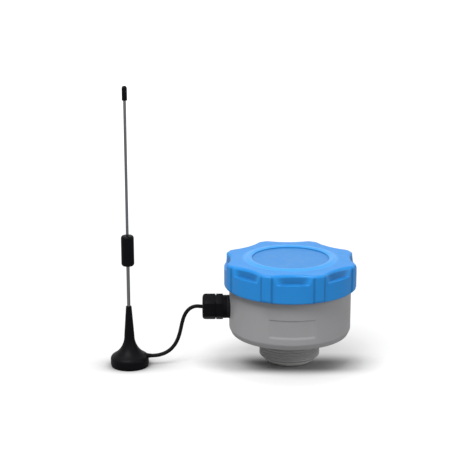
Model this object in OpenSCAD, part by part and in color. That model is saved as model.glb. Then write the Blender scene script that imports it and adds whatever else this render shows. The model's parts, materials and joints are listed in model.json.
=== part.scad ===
// Radar level transmitter with a screw cap, a threaded radar stub, a cable gland
// and a whip antenna on a magnetic foot. Millimetres, +Z up.
// The origin is the centre of the lens face that the transmitter stands on, and
// the axis of the process thread, housing and cap is Z. The gland points to -X.

/* [Process connection] */
// Crest radius of the process thread
thread_r = 23.9; // [22:0.1:26]
// Length of the stub from its lower end to the housing's underside
stub_len = 19.2; // [17:0.1:24]
// Bevel at the stub's lower end
stub_bevel = 1.2; // [0.5:0.1:2.5]
// Wall of the stub round the lens
stub_wall = 3.7; // [3:0.1:4.5]
// Width of the stub's collar under the housing
collar_w = 3.6; // [1:0.1:6]
// Height of that collar
collar_h = 2.5; // [1:0.1:4]
// Width of the shoulder that the stub's spigot leaves under the housing
spigot_w = 2; // [1.5:0.1:2.2]
// Clearance of the stub's spigot in the housing's floor
spigot_fit = 0.1; // [0.05:0.05:0.2]

/* [Lens] */
// Outer radius of the lens's rim under the stub
lens_rim_r = 21.1; // [20.5:0.1:22.4]
// Height of that rim, which the stub stands on
lens_proud = 4.6; // [3.2:0.1:6]
// Depth of the lens's flange inside the stub
lens_flange_h = 4; // [3.5:0.1:7]
// Width of the ledge that the lens's flange seats on
lens_ledge = 2.7; // [2:0.1:4]
// Rise of the lens's inner dome above its flange
lens_dome_h = 5; // [3:0.1:7]
// Bevel round the lens's outer face
lens_bevel = 3; // [1:0.1:3.2]
// Section radius of the lens's sealing ring
lens_seal_r = 0.8; // [0.6:0.05:1]
// Radial clearance of the lens in its seat
lens_fit = 0.2; // [0.1:0.05:0.4]

/* [Horn and radar board] */
// Mouth radius of the horn
horn_mouth_r = 15.6; // [14:0.1:16]
// Throat radius of the horn
horn_throat_r = 5; // [4.6:0.1:6]
// Thickness of the horn's flange
horn_flange_t = 2; // [1.5:0.1:3]
// How far the horn's flange reaches past the stub's bore
horn_flange_w = 6; // [5.5:0.1:7]
// Clearance of the horn in the stub's bore and over the lens
horn_fit = 0.3; // [0.1:0.05:0.5]
// Thickness of both circuit boards
board_t = 1.6; // [1:0.1:2]
// Side of the square radar chip
chip_w = 6; // [5:0.1:6.4]
// Thickness of the radar chip
chip_t = 1; // [0.6:0.1:1.4]
// Shank radius of the radar board's screws
radar_screw_r = 1.25; // [1:0.05:1.5]
// Length of the radar board's screws under their heads
radar_screw_len = 7; // [6:0.5:9]
// Number of the radar board's screws
radar_screw_n = 3; // [3:1:6]

/* [Housing] */
// Outer radius of the housing
housing_r = 48; // [47:0.1:51]
// Height of the housing from its underside to the shoulder
housing_h = 38.2; // [37:0.1:44]
// Width of the bevel round the housing's underside
base_bevel_w = 2; // [1:0.1:4]
// Height of that bevel
base_bevel_h = 4.4; // [1:0.1:6]
// Side wall of the housing
housing_wall = 3.5; // [3:0.1:4.2]
// Floor of the housing
housing_floor = 3.2; // [3:0.1:5]
// Width of the shoulder round the neck
shoulder_w = 5; // [4.5:0.1:5.5]
// Height of the threaded neck above the shoulder
neck_h = 18; // [16:0.5:22]
// Wall of the threaded neck
neck_wall = 3.5; // [2.5:0.1:3.8]
// Bevel at the top of the neck
neck_bevel = 1; // [0.3:0.1:1.5]
// Width of the label field on the front of the housing
label_w = 34; // [20:0.5:44]
// Height of the label field
label_h = 12; // [8:0.5:18]
// Depth of the label field
label_d = 0.5; // [0.2:0.05:1]
// Height of the label field's middle above the housing's underside
label_rise = 17; // [13:0.5:20]

/* [Cap] */
// How far the cap's drum stands proud of the housing
cap_proud = 4; // [3.4:0.1:6]
// How far the grip lobes stand proud of the drum
lobe_proud = 0.7; // [0.3:0.1:1.5]
// Gap between the cap's rim and the shoulder
rim_gap = 0.3; // [0.2:0.05:1]
// Bevel round the cap's lower edge
rim_bevel = 0.8; // [0.3:0.1:1.2]
// Bevel round the cap's upper edge
top_bevel = 1.2; // [0.4:0.1:2]
// Clearance of the cap's thread bore over the neck
cap_fit = 0.3; // [0.2:0.05:0.4]
// Wall of the cap round its thread bore
cap_wall = 2.2; // [1.8:0.1:2.6]
// Wall of the cap's outer skirt
skirt_wall = 2.4; // [1.8:0.1:2.8]
// Height of the relief groove between the two walls
relief_h = 11; // [6:0.5:12]
// Thickness of the cap's top plate
plate_t = 2.6; // [2:0.1:3.5]
// Number of grip lobes
lobe_n = 8; // [8:1:10]
// Width of a lobe across its outer face
lobe_w = 7.5; // [6:0.1:12]
// Depth of the scallops at the top of the cap
scallop_depth = 5.3; // [4.5:0.1:6]
// Height of the scallops, from their floor to the top of the cap
scallop_h = 7; // [5:0.1:9]
// How far the scallops' walls lean inwards over that height
scallop_taper = 1.8; // [0.4:0.1:2.4]
// Middle radius of the raised ring on the cap
ring_r = 33; // [24:0.5:38]
// Width of the raised ring
ring_w = 5; // [2:0.1:7]
// Height of the raised ring
ring_h = 1; // [0.4:0.1:1.6]
// Depth of the round field inside the ring
field_d = 0.5; // [0.2:0.1:1]
// Thickness of the cap's gasket
gasket_t = 2; // [1.5:0.1:3]
// Depth of the gasket's groove in the cap
gasket_groove = 0.4; // [0.2:0.05:0.8]
// Set-back of the gasket's edges from the neck and bore
gasket_inset = 0.4; // [0.3:0.05:0.8]

/* [Main board] */
// Height of the board bosses above the housing's floor
boss_h = 8; // [7.5:0.5:10]
// Radius of a board boss
boss_r = 3.4; // [2.8:0.1:3.6]
// Distance of the board bosses from the main board's edge
boss_edge = 4.5; // [4:0.1:5.5]
// Distance of the board's screws outside the cradle's edge, where a driver reaches them
boss_side = 1.25; // [0.8:0.05:2]
// Gap between the main board's edge and the neck's bore
board_gap = 2.5; // [2:0.1:3]
// Shank radius of the board's screws
board_screw_r = 1.5; // [1.2:0.05:1.7]
// Length of the board's screws under their heads
board_screw_len = 8; // [6:0.5:8.5]
// Width, depth and height of the modem module
modem = [24, 20, 2.6];
// Space between the modem module and the cradle's feet
modem_gap = 2.2; // [1:0.1:3]
// Width, depth and height of the card holder
card_holder = [14, 13, 1.5];
// Space between the card holder and the modem module
card_gap = 4; // [2:0.1:5]
// Width, depth and height of the terminal block
terminal = [8, 13, 10];
// Number of poles on the terminal block
terminal_n = 2; // [2:1:3]
// Radius of the buffer capacitor
capacitor_r = 4.5; // [3:0.1:4.6]
// Length of the buffer capacitor
capacitor_len = 12; // [8:0.5:13]

/* [Battery] */
// Radius of the lithium cell
cell_r = 17.1; // [16:0.1:17.4]
// Length of the cell over its terminal
cell_len = 61.5; // [56:0.5:62]
// Height of the cell's terminal
terminal_h = 1.3; // [0.8:0.1:2]
// Clearance round the cell in its cradle
cell_fit = 0.3; // [0.1:0.05:0.5]
// Side wall of the cradle
cradle_wall = 2; // [1.5:0.1:2.4]
// Thickness of the cradle's base under the cell
cradle_base = 2.1; // [1.5:0.1:3]
// Width of the cradle's base
cradle_w = 30; // [26:0.5:31]
// Length of the cradle's trough
trough_len = 56; // [40:0.5:58]
// Thickness of the cradle's end walls
end_wall = 2.5; // [2:0.1:2.6]
// Distance of the cradle's feet inside its side edges
foot_inset = 4; // [3.2:0.1:5]
// Distance of the cradle's feet behind the board's screws
foot_back = 4.146; // [3.8:0.002:5]
// Height of the cradle's feet above the board
foot_h = 4.4; // [4:0.1:5.5]
// Space between each end of the cell and the cradle's end wall
contact_gap = 2.25; // [1.8:0.05:2.4]
// Thickness of the contact strips
contact_t = 0.5; // [0.3:0.05:0.6]
// Width of the contact strips
contact_w = 8; // [5:0.5:12]
// Width of the strap over the cell
strap_w = 12; // [8:0.5:20]
// Thickness of the strap
strap_t = 1; // [0.6:0.1:1.2]

/* [Cable gland] */
// Height of the gland's axis above the housing's underside
gland_rise = 20.2; // [19:0.1:24]
// Radius of the gland's housing thread
gland_thread_r = 7.6; // [7:0.1:8]
// Radius of the gland's washer and shoulder
gland_shoulder_r = 9.2; // [8.8:0.1:9.8]
// Thickness of the gland's washer
washer_t = 3; // [1:0.1:3.5]
// Thickness of the gland's shoulder
gland_shoulder_t = 3; // [1.5:0.1:4]
// Size across flats of the gland's collar and nut
gland_flats = 18.5; // [18:0.1:20]
// Length of the gland's hexagonal collar
collar_len = 5.3; // [4:0.1:7]
// Length of the gland's nut
gland_nut_len = 10.4; // [9.5:0.1:12]
// Gap between the gland's collar and nut
nut_gap = 0.5; // [0.3:0.1:1]
// Radius of the rounded end of the gland's nut
nut_round = 3.2; // [2:0.1:4]
// Radius of the mouth in the gland's nut
nut_mouth_r = 4.4; // [3.8:0.1:4.8]
// Outer radius of the gland's rubber seal
gland_seal_r = 4; // [3.6:0.1:4.2]
// Size across flats of the locknut inside the housing
locknut_flats = 20; // [18:0.1:21]
// Thickness of the locknut
locknut_t = 4; // [3:0.1:5]
// Clearance of the gland's parts on each other
gland_fit = 0.2; // [0.1:0.05:0.25]

/* [Antenna] */
// Radius of the antenna's foot
foot_r = 15; // [14:0.1:18]
// Height of the upright edge of the foot
foot_edge_h = 6.6; // [6.2:0.1:9]
// Height at which the cone of the foot is straight
waist_z = 24.5; // [22:0.1:30]
// Radius of the cone at that height
waist_r = 4; // [3.6:0.1:5]
// Radius of the foot's hollow flare
flare_r = 18; // [17.4:0.1:19]
// Height of the top of the cone
cone_z = 49; // [44:0.5:56]
// Thickness of the pad under the foot
pad_t = 0.8; // [0.5:0.1:1.2]
// Radius of the magnet
magnet_r = 12; // [9:0.1:12.5]
// Thickness of the magnet
magnet_t = 4.6; // [3:0.1:4.8]
// Radius of the brass insert in the foot
insert_r = 3.2; // [2.6:0.1:3.4]
// Height of the brass insert
insert_h = 6; // [5:0.1:7]
// Radius of the lower whip
whip_lower_r = 1.3; // [1:0.05:1.6]
// Radius of the upper whip
whip_upper_r = 1.1; // [0.8:0.05:1.5]
// Height of the sleeve's lower end
sleeve_z = 82; // [70:1:95]
// Length of the sleeve over the loading coil
sleeve_len = 24; // [18:0.5:30]
// Outer radius of the sleeve
sleeve_r = 5; // [4:0.1:6]
// Wall of the sleeve
sleeve_wall = 0.9; // [0.6:0.1:1.2]
// Height of the antenna's tip
tip_z = 222; // [190:1:240]
// Length of the cap on the tip
tip_len = 11; // [8:0.5:14]
// Radius of the cap on the tip
tip_r = 2; // [1.8:0.1:2.6]
// Clearance of the antenna's parts on each other
antenna_fit = 0.1; // [0.05:0.05:0.2]

/* [Antenna cable] */
// Radius of the antenna cable
cable_r = 1.5; // [1.2:0.05:1.55]
// Length of the cable's boot outside the foot
boot_len = 4; // [2:0.5:5]
// Radius of the boot
boot_r = 2.6; // [2.2:0.1:2.8]

/* [Hidden] */
$fn = 96;
eps = 0.01;

// Heights of the housing
stub_z = lens_proud;
under_z = stub_z + stub_len;
floor_z = under_z + housing_floor;
shoulder_z = under_z + housing_h;
neck_z = shoulder_z + neck_h;
seat_z = stub_z + lens_flange_h;

// Radii of the housing
lens_r = thread_r - stub_wall - lens_fit;
lens_bore_r = lens_r + lens_fit;
seal_groove_r = lens_bore_r - 2 * lens_seal_r - 0.1;
seal_groove_z = (stub_z + seat_z) / 2 - lens_seal_r - 0.1;
stub_bore_r = lens_bore_r - lens_ledge;
spigot_r = thread_r - spigot_w;
cavity_r = housing_r - housing_wall;
neck_r = housing_r - shoulder_w;
neck_bore_r = neck_r - neck_wall;
neck_taper_h = cavity_r - neck_bore_r;

// Radar stack
horn_flange_r = stub_bore_r + horn_flange_w;
horn_z = seat_z + horn_fit;
radar_z = floor_z + horn_flange_t;
radar_circle_r = (stub_bore_r + spigot_r) / 2;

// Main board stack
board_z = floor_z + boss_h;
board_top_z = board_z + board_t;
board_r = neck_bore_r - board_gap;
boss_circle_r = board_r - boss_edge;
boss_x = cradle_w / 2 + boss_side;
boss_y = sqrt(pow(boss_circle_r, 2) - pow(boss_x, 2));
screw_head_h = 2.2;

// Cradle and cell
cradle_z = board_top_z + foot_h;
cell_bed_r = cell_r + cell_fit;
cell_z = cradle_z + cradle_base + cell_bed_r;
trough_w = 2 * (cell_bed_r + cradle_wall);
end_wall_y = cell_len / 2 + contact_gap;
foot_pad_r = 2.8;
foot_x = cradle_w / 2 - foot_inset;
foot_y = boss_y - foot_back;
peg_r = 1.5;
modem_y = foot_pad_r + modem_gap - foot_y;
card_y = modem_y + modem[1] + card_gap;

// Cap
rim_z = shoulder_z + rim_gap;
cap_bore_r = neck_r + cap_fit;
core_r = cap_bore_r + cap_wall;
gasket_top_z = neck_z + gasket_t;
plate_z = gasket_top_z - gasket_groove;
cap_z = plate_z + plate_t;
drum_r = housing_r + cap_proud;
lobe_r = drum_r + lobe_proud;
skirt_in_r = drum_r - skirt_wall;
lobe_pitch = 360 / lobe_n;
mouth_half = lobe_r * sin(lobe_pitch / 2 - asin(lobe_w / 2 / lobe_r));
mouth_depth = sqrt(pow(lobe_r, 2) - pow(mouth_half, 2)) - drum_r + scallop_depth;
scoop_r = (pow(mouth_half, 2) + pow(mouth_depth, 2)) / (2 * mouth_depth);
scoop_x = drum_r - scallop_depth + scoop_r;
scallop_z = cap_z - scallop_h;

// Gland
gland_z = under_z + gland_rise;
spot_r = gland_shoulder_r + 0.4;
spot_x = sqrt(pow(housing_r, 2) - pow(spot_r, 2));
pad_x = cavity_r - 1.5;
collar_u = washer_t + gland_shoulder_t;
nut_u = collar_u + collar_len + nut_gap;
nut_end_u = nut_u + gland_nut_len;
nut_thread_r = gland_flats / 2 - 1.8;
nut_cone_u = nut_end_u - 3.6;
finger_u = nut_cone_u + 1.2;
seal_u = collar_u + collar_len - 1;
gland_seal_len = finger_u - seal_u - 0.5;
cable_hole_r = cable_r + gland_fit;

// Plug of the antenna cable on the main board
plug_x = -28;
plug_top_z = gland_z + 2.4;

// Antenna
antenna_x = -126.5;
antenna_y = -14;
antenna_pos = [antenna_x, antenna_y, 0];
magnet_z = pad_t;
insert_z = magnet_z + magnet_t + 0.3;
cable_entry_z = 7.8;
boot_seat_x = magnet_r + 0.4;
coil_r = sleeve_r - sleeve_wall - antenna_fit;
coil_z = sleeve_z + sleeve_wall;
coil_len = sleeve_len - 2 * sleeve_wall;
tip_socket_h = 3;

// Route of the antenna cable from the middle of the gland's seal to the insert
cable_route = [
    [-62, 0, 44], [-66, 0, 44], [-70, 0, 44], [-74, -0.3, 44.3], [-77.8, -0.8, 43.4],
    [-81, -1.6, 41], [-83.4, -2.6, 37.4], [-85, -3.8, 33], [-86.2, -5.2, 28],
    [-87.5, -6.8, 23], [-89.5, -8.4, 18], [-92.6, -10, 13.6], [-97, -11.6, 10.2],
    [-102, -12.9, 8.4], [-107, -13.7, 7.8], [-112, -14, 7.8], [-117, -14, 7.8],
    [-122.8, -14, 7.8]
];
cable_sides = 8;

// Places a child so that its Z axis leaves the housing along the gland, from the spot face
module on_gland(u = 0) {
    translate([-spot_x - u, 0, gland_z]) rotate([0, -90, 0]) children();
}

// A ring of rectangular section
module ring(r_out, r_in, h) {
    difference() {
        cylinder(r = r_out, h = h);
        translate([0, 0, -1]) cylinder(r = r_in, h = h + 2);
    }
}

// A hexagonal prism with two corners upright once it lies on the gland
module hexagon(flats, h) {
    cylinder(r = flats / sqrt(3), h = h, $fn = 6);
}

// A pan-head screw that hangs down from its head's underside at z = 0
module pan_screw(shank_r, shank_len) {
    head_r = shank_r * 1.9;
    difference() {
        union() {
            translate([0, 0, -shank_len]) cylinder(r = shank_r, h = shank_len + eps);
            cylinder(r = head_r, h = screw_head_h * 0.6);
            translate([0, 0, screw_head_h * 0.6])
                cylinder(r1 = head_r, r2 = head_r * 0.7, h = screw_head_h * 0.4);
        }
        for (turn = [0, 90])
            rotate(turn) translate([-shank_r, -shank_r * 0.2, screw_head_h * 0.45])
                cube([2 * shank_r, shank_r * 0.4, screw_head_h]);
    }
}

// Copies a child to each board boss
module at_bosses() {
    for (side = [[1, 1], [-1, 1], [-1, -1], [1, -1]])
        translate([side[0] * boss_x, side[1] * boss_y, 0]) children();
}

// Copies a child to each screw of the radar board
module at_radar_screws() {
    for (i = [0 : radar_screw_n - 1])
        rotate(30 + i * 360 / radar_screw_n) translate([radar_circle_r, 0, 0]) children();
}

// Copies a child to each foot of the cradle
module at_feet() {
    for (x = [-foot_x, foot_x])
        for (y = [-foot_y, foot_y])
            translate([x, y, 0]) children();
}

// The moulded bowl of the housing with its neck
module housing_shell() {
    rotate_extrude()
        polygon([
            [spigot_r + spigot_fit, under_z],
            [housing_r - base_bevel_w, under_z],
            [housing_r, under_z + base_bevel_h],
            [housing_r, shoulder_z],
            [neck_r, shoulder_z],
            [neck_r, neck_z - neck_bevel],
            [neck_r - neck_bevel, neck_z],
            [neck_bore_r, neck_z],
            [neck_bore_r, shoulder_z - 1],
            [cavity_r, shoulder_z - 1 - neck_taper_h],
            [cavity_r, floor_z],
            [spigot_r + spigot_fit, floor_z]
        ]);
}

// The shallow field for a label on the front
module label_field() {
    intersection() {
        translate([0, 0, under_z + label_rise - label_h / 2])
            ring(housing_r + 1, housing_r - label_d, label_h);
        translate([-label_w / 2, -housing_r - 2, 0]) cube([label_w, 20, shoulder_z]);
    }
}

// The flat pad inside the wall that the gland's locknut bears on
module locknut_pad() {
    intersection() {
        translate([-housing_r, -gland_flats, floor_z - eps])
            cube([housing_r - pad_x, 2 * gland_flats, shoulder_z - floor_z - neck_taper_h]);
        cylinder(r = cavity_r + 1, h = shoulder_z);
    }
}

module housing() color("silver") difference() {
    union() {
        housing_shell();
        locknut_pad();
        at_bosses() translate([0, 0, floor_z - eps]) cylinder(r = boss_r, h = boss_h + eps);
    }
    label_field();
    on_gland(0) cylinder(r = spot_r, h = 10);
    on_gland(-20) cylinder(r = gland_thread_r + gland_fit, h = 30);
    at_bosses() translate([0, 0, floor_z + 1])
        cylinder(r = board_screw_r + 0.05, h = boss_h);
}

module process_stub() color("silver") difference() {
    rotate_extrude()
        polygon([
            [lens_bore_r, stub_z],
            [thread_r - stub_bevel, stub_z],
            [thread_r, stub_z + stub_bevel],
            [thread_r, under_z - collar_h],
            [thread_r + collar_w, under_z],
            [spigot_r, under_z],
            [spigot_r, floor_z],
            [stub_bore_r, floor_z],
            [stub_bore_r, seat_z],
            [lens_bore_r, seat_z]
        ]);
    at_radar_screws() translate([0, 0, radar_z + board_t - radar_screw_len - 0.5])
        cylinder(r = radar_screw_r + 0.05, h = radar_screw_len + 1);
}

module lens() color("gainsboro") difference() {
    dome_r = stub_bore_r - 2;
    dome_ball_r = (pow(dome_r, 2) + pow(lens_dome_h, 2)) / (2 * lens_dome_h);
    union() {
        rotate_extrude()
            polygon([
                [0, 0],
                [lens_rim_r - lens_bevel, 0],
                [lens_rim_r, lens_bevel],
                [lens_rim_r, lens_proud],
                [lens_r, lens_proud],
                [lens_r, seat_z],
                [0, seat_z]
            ]);
        intersection() {
            translate([0, 0, seat_z - eps]) cylinder(r = dome_r, h = lens_dome_h + 1);
            translate([0, 0, seat_z + lens_dome_h - dome_ball_r]) sphere(r = dome_ball_r);
        }
    }
    translate([0, 0, seal_groove_z])
        ring(lens_r + 1, seal_groove_r, 2 * lens_seal_r + 0.2);
}

module lens_seal() color("black")
    translate([0, 0, seal_groove_z + lens_seal_r + 0.1])
        rotate_extrude() translate([seal_groove_r + lens_seal_r + 0.05, 0])
            circle(r = lens_seal_r, $fn = 32);

module horn() color("lightgray") difference() {
    union() {
        translate([0, 0, horn_z])
            cylinder(r = stub_bore_r - horn_fit, h = floor_z - horn_z + eps);
        translate([0, 0, floor_z]) cylinder(r = horn_flange_r, h = horn_flange_t);
    }
    translate([0, 0, horn_z - eps])
        cylinder(r1 = horn_mouth_r, r2 = horn_throat_r, h = radar_z - horn_z + 2 * eps);
    at_radar_screws() translate([0, 0, floor_z - 1])
        cylinder(r = radar_screw_r + 0.2, h = horn_flange_t + 2);
}

module radar_board() color("darkgreen") difference() {
    translate([0, 0, radar_z]) cylinder(r = horn_flange_r, h = board_t);
    at_radar_screws() translate([0, 0, radar_z - 1])
        cylinder(r = radar_screw_r + 0.2, h = board_t + 2);
}

module radar_chip() color("dimgray")
    translate([-chip_w / 2, -chip_w / 2, radar_z - chip_t]) cube([chip_w, chip_w, chip_t]);

module radar_screws() color("silver")
    at_radar_screws() translate([0, 0, radar_z + board_t])
        pan_screw(radar_screw_r, radar_screw_len);

module board_link() color("dimgray")
    translate([-7, 9, radar_z + board_t]) cube([14, 5, board_z - radar_z - board_t]);

module main_board() color("darkgreen") difference() {
    translate([0, 0, board_z]) cylinder(r = board_r, h = board_t);
    at_bosses() translate([0, 0, board_z - 1])
        cylinder(r = board_screw_r + 0.2, h = board_t + 2);
    at_feet() translate([0, 0, board_z - 1]) cylinder(r = peg_r + 0.1, h = board_t + 2);
}

module board_screws() color("silver")
    at_bosses() translate([0, 0, board_top_z]) pan_screw(board_screw_r, board_screw_len);

module modem_module() color("lightgray")
    translate([-modem[0] / 2, modem_y, board_top_z]) {
        cube([modem[0], modem[1], modem[2] * 0.3]);
        translate([1, 1, modem[2] * 0.3 - eps])
            cube([modem[0] - 2, modem[1] - 2, modem[2] * 0.7]);
    }

module card_holder() color("silver")
    translate([-card_holder[0] / 2, card_y, board_top_z]) difference() {
        cube(card_holder);
        translate([1, -1, 0.4]) cube([card_holder[0] - 2, card_holder[1], 0.7]);
        translate([3.5, 3, 0.4]) cube([card_holder[0] - 7, 5, 5]);
    }

module terminal_block() color("limegreen")
    translate([trough_w / 2 + 0.6, -11 - terminal[1], board_top_z]) difference() {
        pole_w = terminal[1] / terminal_n;
        cube(terminal);
        for (i = [0 : terminal_n - 1])
            translate([0, (i + 0.5) * pole_w, 0]) {
                translate([terminal[0] / 2, 0, terminal[2] * 0.6])
                    cylinder(r = 1.8, h = terminal[2], $fn = 32);
                translate([terminal[0] - 3, -1.6, 1.5]) cube([4, 3.2, 3.4]);
            }
    }

module buffer_capacitor() color("navy")
    translate([trough_w / 2 + 0.6 + capacitor_r, 10.5, board_top_z + capacitor_r])
        rotate([-90, 0, 0]) rotate_extrude()
            polygon([
                [0, 0],
                [capacitor_r - 0.5, 0],
                [capacitor_r, 0.5],
                [capacitor_r, 1.6],
                [capacitor_r - 0.4, 2],
                [capacitor_r, 2.4],
                [capacitor_r, capacitor_len - 0.4],
                [capacitor_r - 0.4, capacitor_len],
                [0, capacitor_len]
            ]);

module coax_socket() color("gold") translate([plug_x, 0, board_top_z]) {
    translate([-3, -3, 0]) cube([6, 6, 1.2]);
    cylinder(r = 2, h = gland_z - board_top_z - 3);
}

module coax_plug() color("goldenrod") difference() {
    union() {
        translate([plug_x, 0, board_top_z + 1.6])
            cylinder(r = 3, h = plug_top_z - board_top_z - 1.6);
        translate([plug_x, 0, gland_z]) rotate([0, -90, 0]) cylinder(r = 2.2, h = 6.5);
    }
    translate([plug_x, 0, board_top_z]) cylinder(r = 2.1, h = gland_z - board_top_z - 2.9);
    translate([plug_x - 3.5, 0, gland_z]) rotate([0, -90, 0])
        cylinder(r = cable_r + 0.1, h = 5);
}

// The inner end of the antenna cable, from its plug to the middle of the gland's seal
module cable_tail() color("black")
    translate([plug_x - 3.5, 0, gland_z]) rotate([0, -90, 0])
        cylinder(r = cable_r, h = plug_x - 3.5 - cable_route[0][0]);

module battery_cradle() color("black") difference() {
    union() {
        translate([-cradle_w / 2, -end_wall_y - end_wall, cradle_z])
            cube([cradle_w, 2 * (end_wall_y + end_wall), cradle_base]);
        translate([0, trough_len / 2, 0]) rotate([90, 0, 0]) linear_extrude(trough_len)
            polygon([
                [-cradle_w / 2, cradle_z],
                [cradle_w / 2, cradle_z],
                [trough_w / 2, (cradle_z + cell_z) / 2],
                [trough_w / 2, cell_z],
                [-trough_w / 2, cell_z],
                [-trough_w / 2, (cradle_z + cell_z) / 2]
            ]);
        for (side = [0, 1])
            mirror([0, side, 0]) translate([-cradle_w / 2 + 1, end_wall_y, cradle_z])
                cube([cradle_w - 2, end_wall, cell_z - cradle_z]);
        at_feet() translate([0, 0, board_top_z]) cylinder(r = foot_pad_r, h = foot_h + eps);
        at_feet() translate([0, 0, board_z - 0.8]) cylinder(r = peg_r, h = board_t + 2);
    }
    translate([0, trough_len, cell_z]) rotate([90, 0, 0])
        cylinder(r = cell_bed_r, h = 2 * trough_len);
    for (side = [0, 1])
        mirror([0, side, 0])
            translate([-contact_w / 2 - 0.3, end_wall_y - contact_t - 0.2, cradle_z - 1])
                cube([contact_w + 0.6, contact_t + 0.2, cradle_base + 2]);
}

// A bowed contact strip at each end of the cell, soldered to the board below
module battery_contacts() color("silver") {
    back = end_wall_y;
    nose = cell_len / 2 + 0.05;
    for (side = [0, 1])
        mirror([0, side, 0]) translate([-contact_w / 2, 0, 0]) rotate([90, 0, 90])
            linear_extrude(contact_w)
                polygon([
                    [back, board_top_z],
                    [back, cell_z - 8],
                    [nose + contact_t, cell_z - 1],
                    [nose + contact_t, cell_z + 1],
                    [back, cell_z + 7],
                    [back - contact_t, cell_z + 7],
                    [nose, cell_z + 1],
                    [nose, cell_z - 1],
                    [back - contact_t, cell_z - 8],
                    [back - contact_t, board_top_z]
                ]);
}

module battery_cell() color("seagreen")
    translate([0, -cell_len / 2, cell_z]) rotate([-90, 0, 0]) rotate_extrude()
        polygon([
            [0, 0],
            [cell_r - 1, 0],
            [cell_r, 1],
            [cell_r, cell_len - terminal_h - 1],
            [cell_r - 1, cell_len - terminal_h],
            [3.2, cell_len - terminal_h],
            [3.2, cell_len - 0.3],
            [2.9, cell_len],
            [0, cell_len]
        ]);

module battery_strap() color("dimgray") {
    strap_in = cell_r + 0.15;
    translate([0, strap_w / 2, cell_z]) rotate([90, 0, 0]) linear_extrude(strap_w) {
        difference() {
            circle(r = strap_in + strap_t);
            circle(r = strap_in);
            translate([-50, -100]) square([100, 100]);
        }
        for (side = [0, 1])
            mirror([side, 0]) {
                translate([strap_in + 0.3, 0]) square([trough_w / 2 + 0.9 - strap_in, 1.4]);
                translate([trough_w / 2 + 0.2, -6]) square([1, 6.5]);
            }
    }
}

// The turned form of the cap: skirt, relief groove, thread bore and plate
module cap_drum() {
    rotate_extrude()
        polygon([
            [cap_bore_r, rim_z],
            [core_r, rim_z],
            [core_r, rim_z + relief_h],
            [skirt_in_r, rim_z + relief_h - (skirt_in_r - core_r)],
            [skirt_in_r, rim_z],
            [drum_r - rim_bevel, rim_z],
            [drum_r, rim_z + rim_bevel],
            [drum_r, cap_z - top_bevel],
            [drum_r - top_bevel, cap_z],
            [0, cap_z],
            [0, plate_z],
            [neck_bore_r, plate_z],
            [neck_bore_r, gasket_top_z],
            [cap_bore_r, gasket_top_z]
        ]);
}

// The grip lobes on the drum
module cap_lobes() {
    intersection() {
        rotate_extrude()
            polygon([
                [drum_r - 2, rim_z + rim_bevel],
                [drum_r, rim_z + rim_bevel],
                [lobe_r, rim_z + rim_bevel + lobe_proud],
                [lobe_r, cap_z - top_bevel],
                [lobe_r - top_bevel, cap_z],
                [drum_r - 2, cap_z]
            ]);
        for (i = [0 : lobe_n - 1])
            rotate((i + 0.5) * lobe_pitch - 90) translate([drum_r - 3, -lobe_w / 2, rim_z])
                cube([6, lobe_w, cap_z - rim_z + 1]);
    }
}

// The cutters of the scallops between the lobes, steep round scoops with a flat floor
module scallops() {
    for (i = [0 : lobe_n - 1])
        rotate(i * lobe_pitch - 90) translate([scoop_x, 0, scallop_z])
            cylinder(r1 = scoop_r - scallop_taper, r2 = scoop_r + scallop_taper / scallop_h,
                     h = scallop_h + 1);
}

// The raised ring on the cap, a low round bead
module cap_ring() {
    bead_r = (pow(ring_w / 2, 2) + pow(ring_h, 2)) / (2 * ring_h);
    rotate_extrude() translate([ring_r, cap_z + ring_h - bead_r])
        intersection() {
            circle(r = bead_r);
            translate([-ring_w, bead_r - ring_h - 0.4]) square([2 * ring_w, 2 * ring_h]);
        }
}

module cap() color("dodgerblue") difference() {
    union() {
        cap_drum();
        cap_lobes();
        cap_ring();
    }
    scallops();
    translate([0, 0, cap_z - field_d]) cylinder(r = ring_r - ring_w / 2 - 0.4, h = 2);
}

module cap_gasket() color("black")
    translate([0, 0, neck_z])
        ring(neck_r - gasket_inset, neck_bore_r + gasket_inset, gasket_t);

module gland_washer() color("black") on_gland(0)
    ring(gland_shoulder_r, gland_thread_r + gland_fit, washer_t);

module gland_body() color("dimgray") difference() {
    thread_end = spot_x - pad_x + locknut_t + 1.5;
    nut_stem_r = nut_thread_r - gland_fit;
    union() {
        on_gland(-thread_end) cylinder(r = gland_thread_r, h = thread_end + washer_t + eps);
        on_gland(washer_t) cylinder(r = gland_shoulder_r, h = gland_shoulder_t + eps);
        on_gland(collar_u) hexagon(gland_flats, collar_len);
        on_gland(collar_u) cylinder(r = nut_stem_r, h = nut_cone_u - collar_u - 0.4);
        on_gland(nut_cone_u - 0.5)
            cylinder(r1 = nut_stem_r - 0.9, r2 = gland_seal_r + gland_fit + 1.2,
                     h = finger_u - nut_cone_u + 0.5);
    }
    on_gland(-thread_end - 1) cylinder(r = cable_r + 1, h = 60);
    on_gland(seal_u) cylinder(r = gland_seal_r + gland_fit, h = 30);
    for (turn = [0, 60, 120])
        on_gland(nut_cone_u - 1) rotate(turn) translate([-20, -0.5, 0]) cube([40, 1, 20]);
}

module gland_locknut() color("black") difference() {
    on_gland(-(spot_x - pad_x) - locknut_t) hexagon(locknut_flats, locknut_t);
    on_gland(-(spot_x - pad_x) - locknut_t - 1)
        cylinder(r = gland_thread_r + gland_fit / 2, h = locknut_t + 2);
}

module gland_seal() color("dimgray") on_gland(seal_u + 0.1)
    ring(gland_seal_r, cable_hole_r, gland_seal_len);

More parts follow.
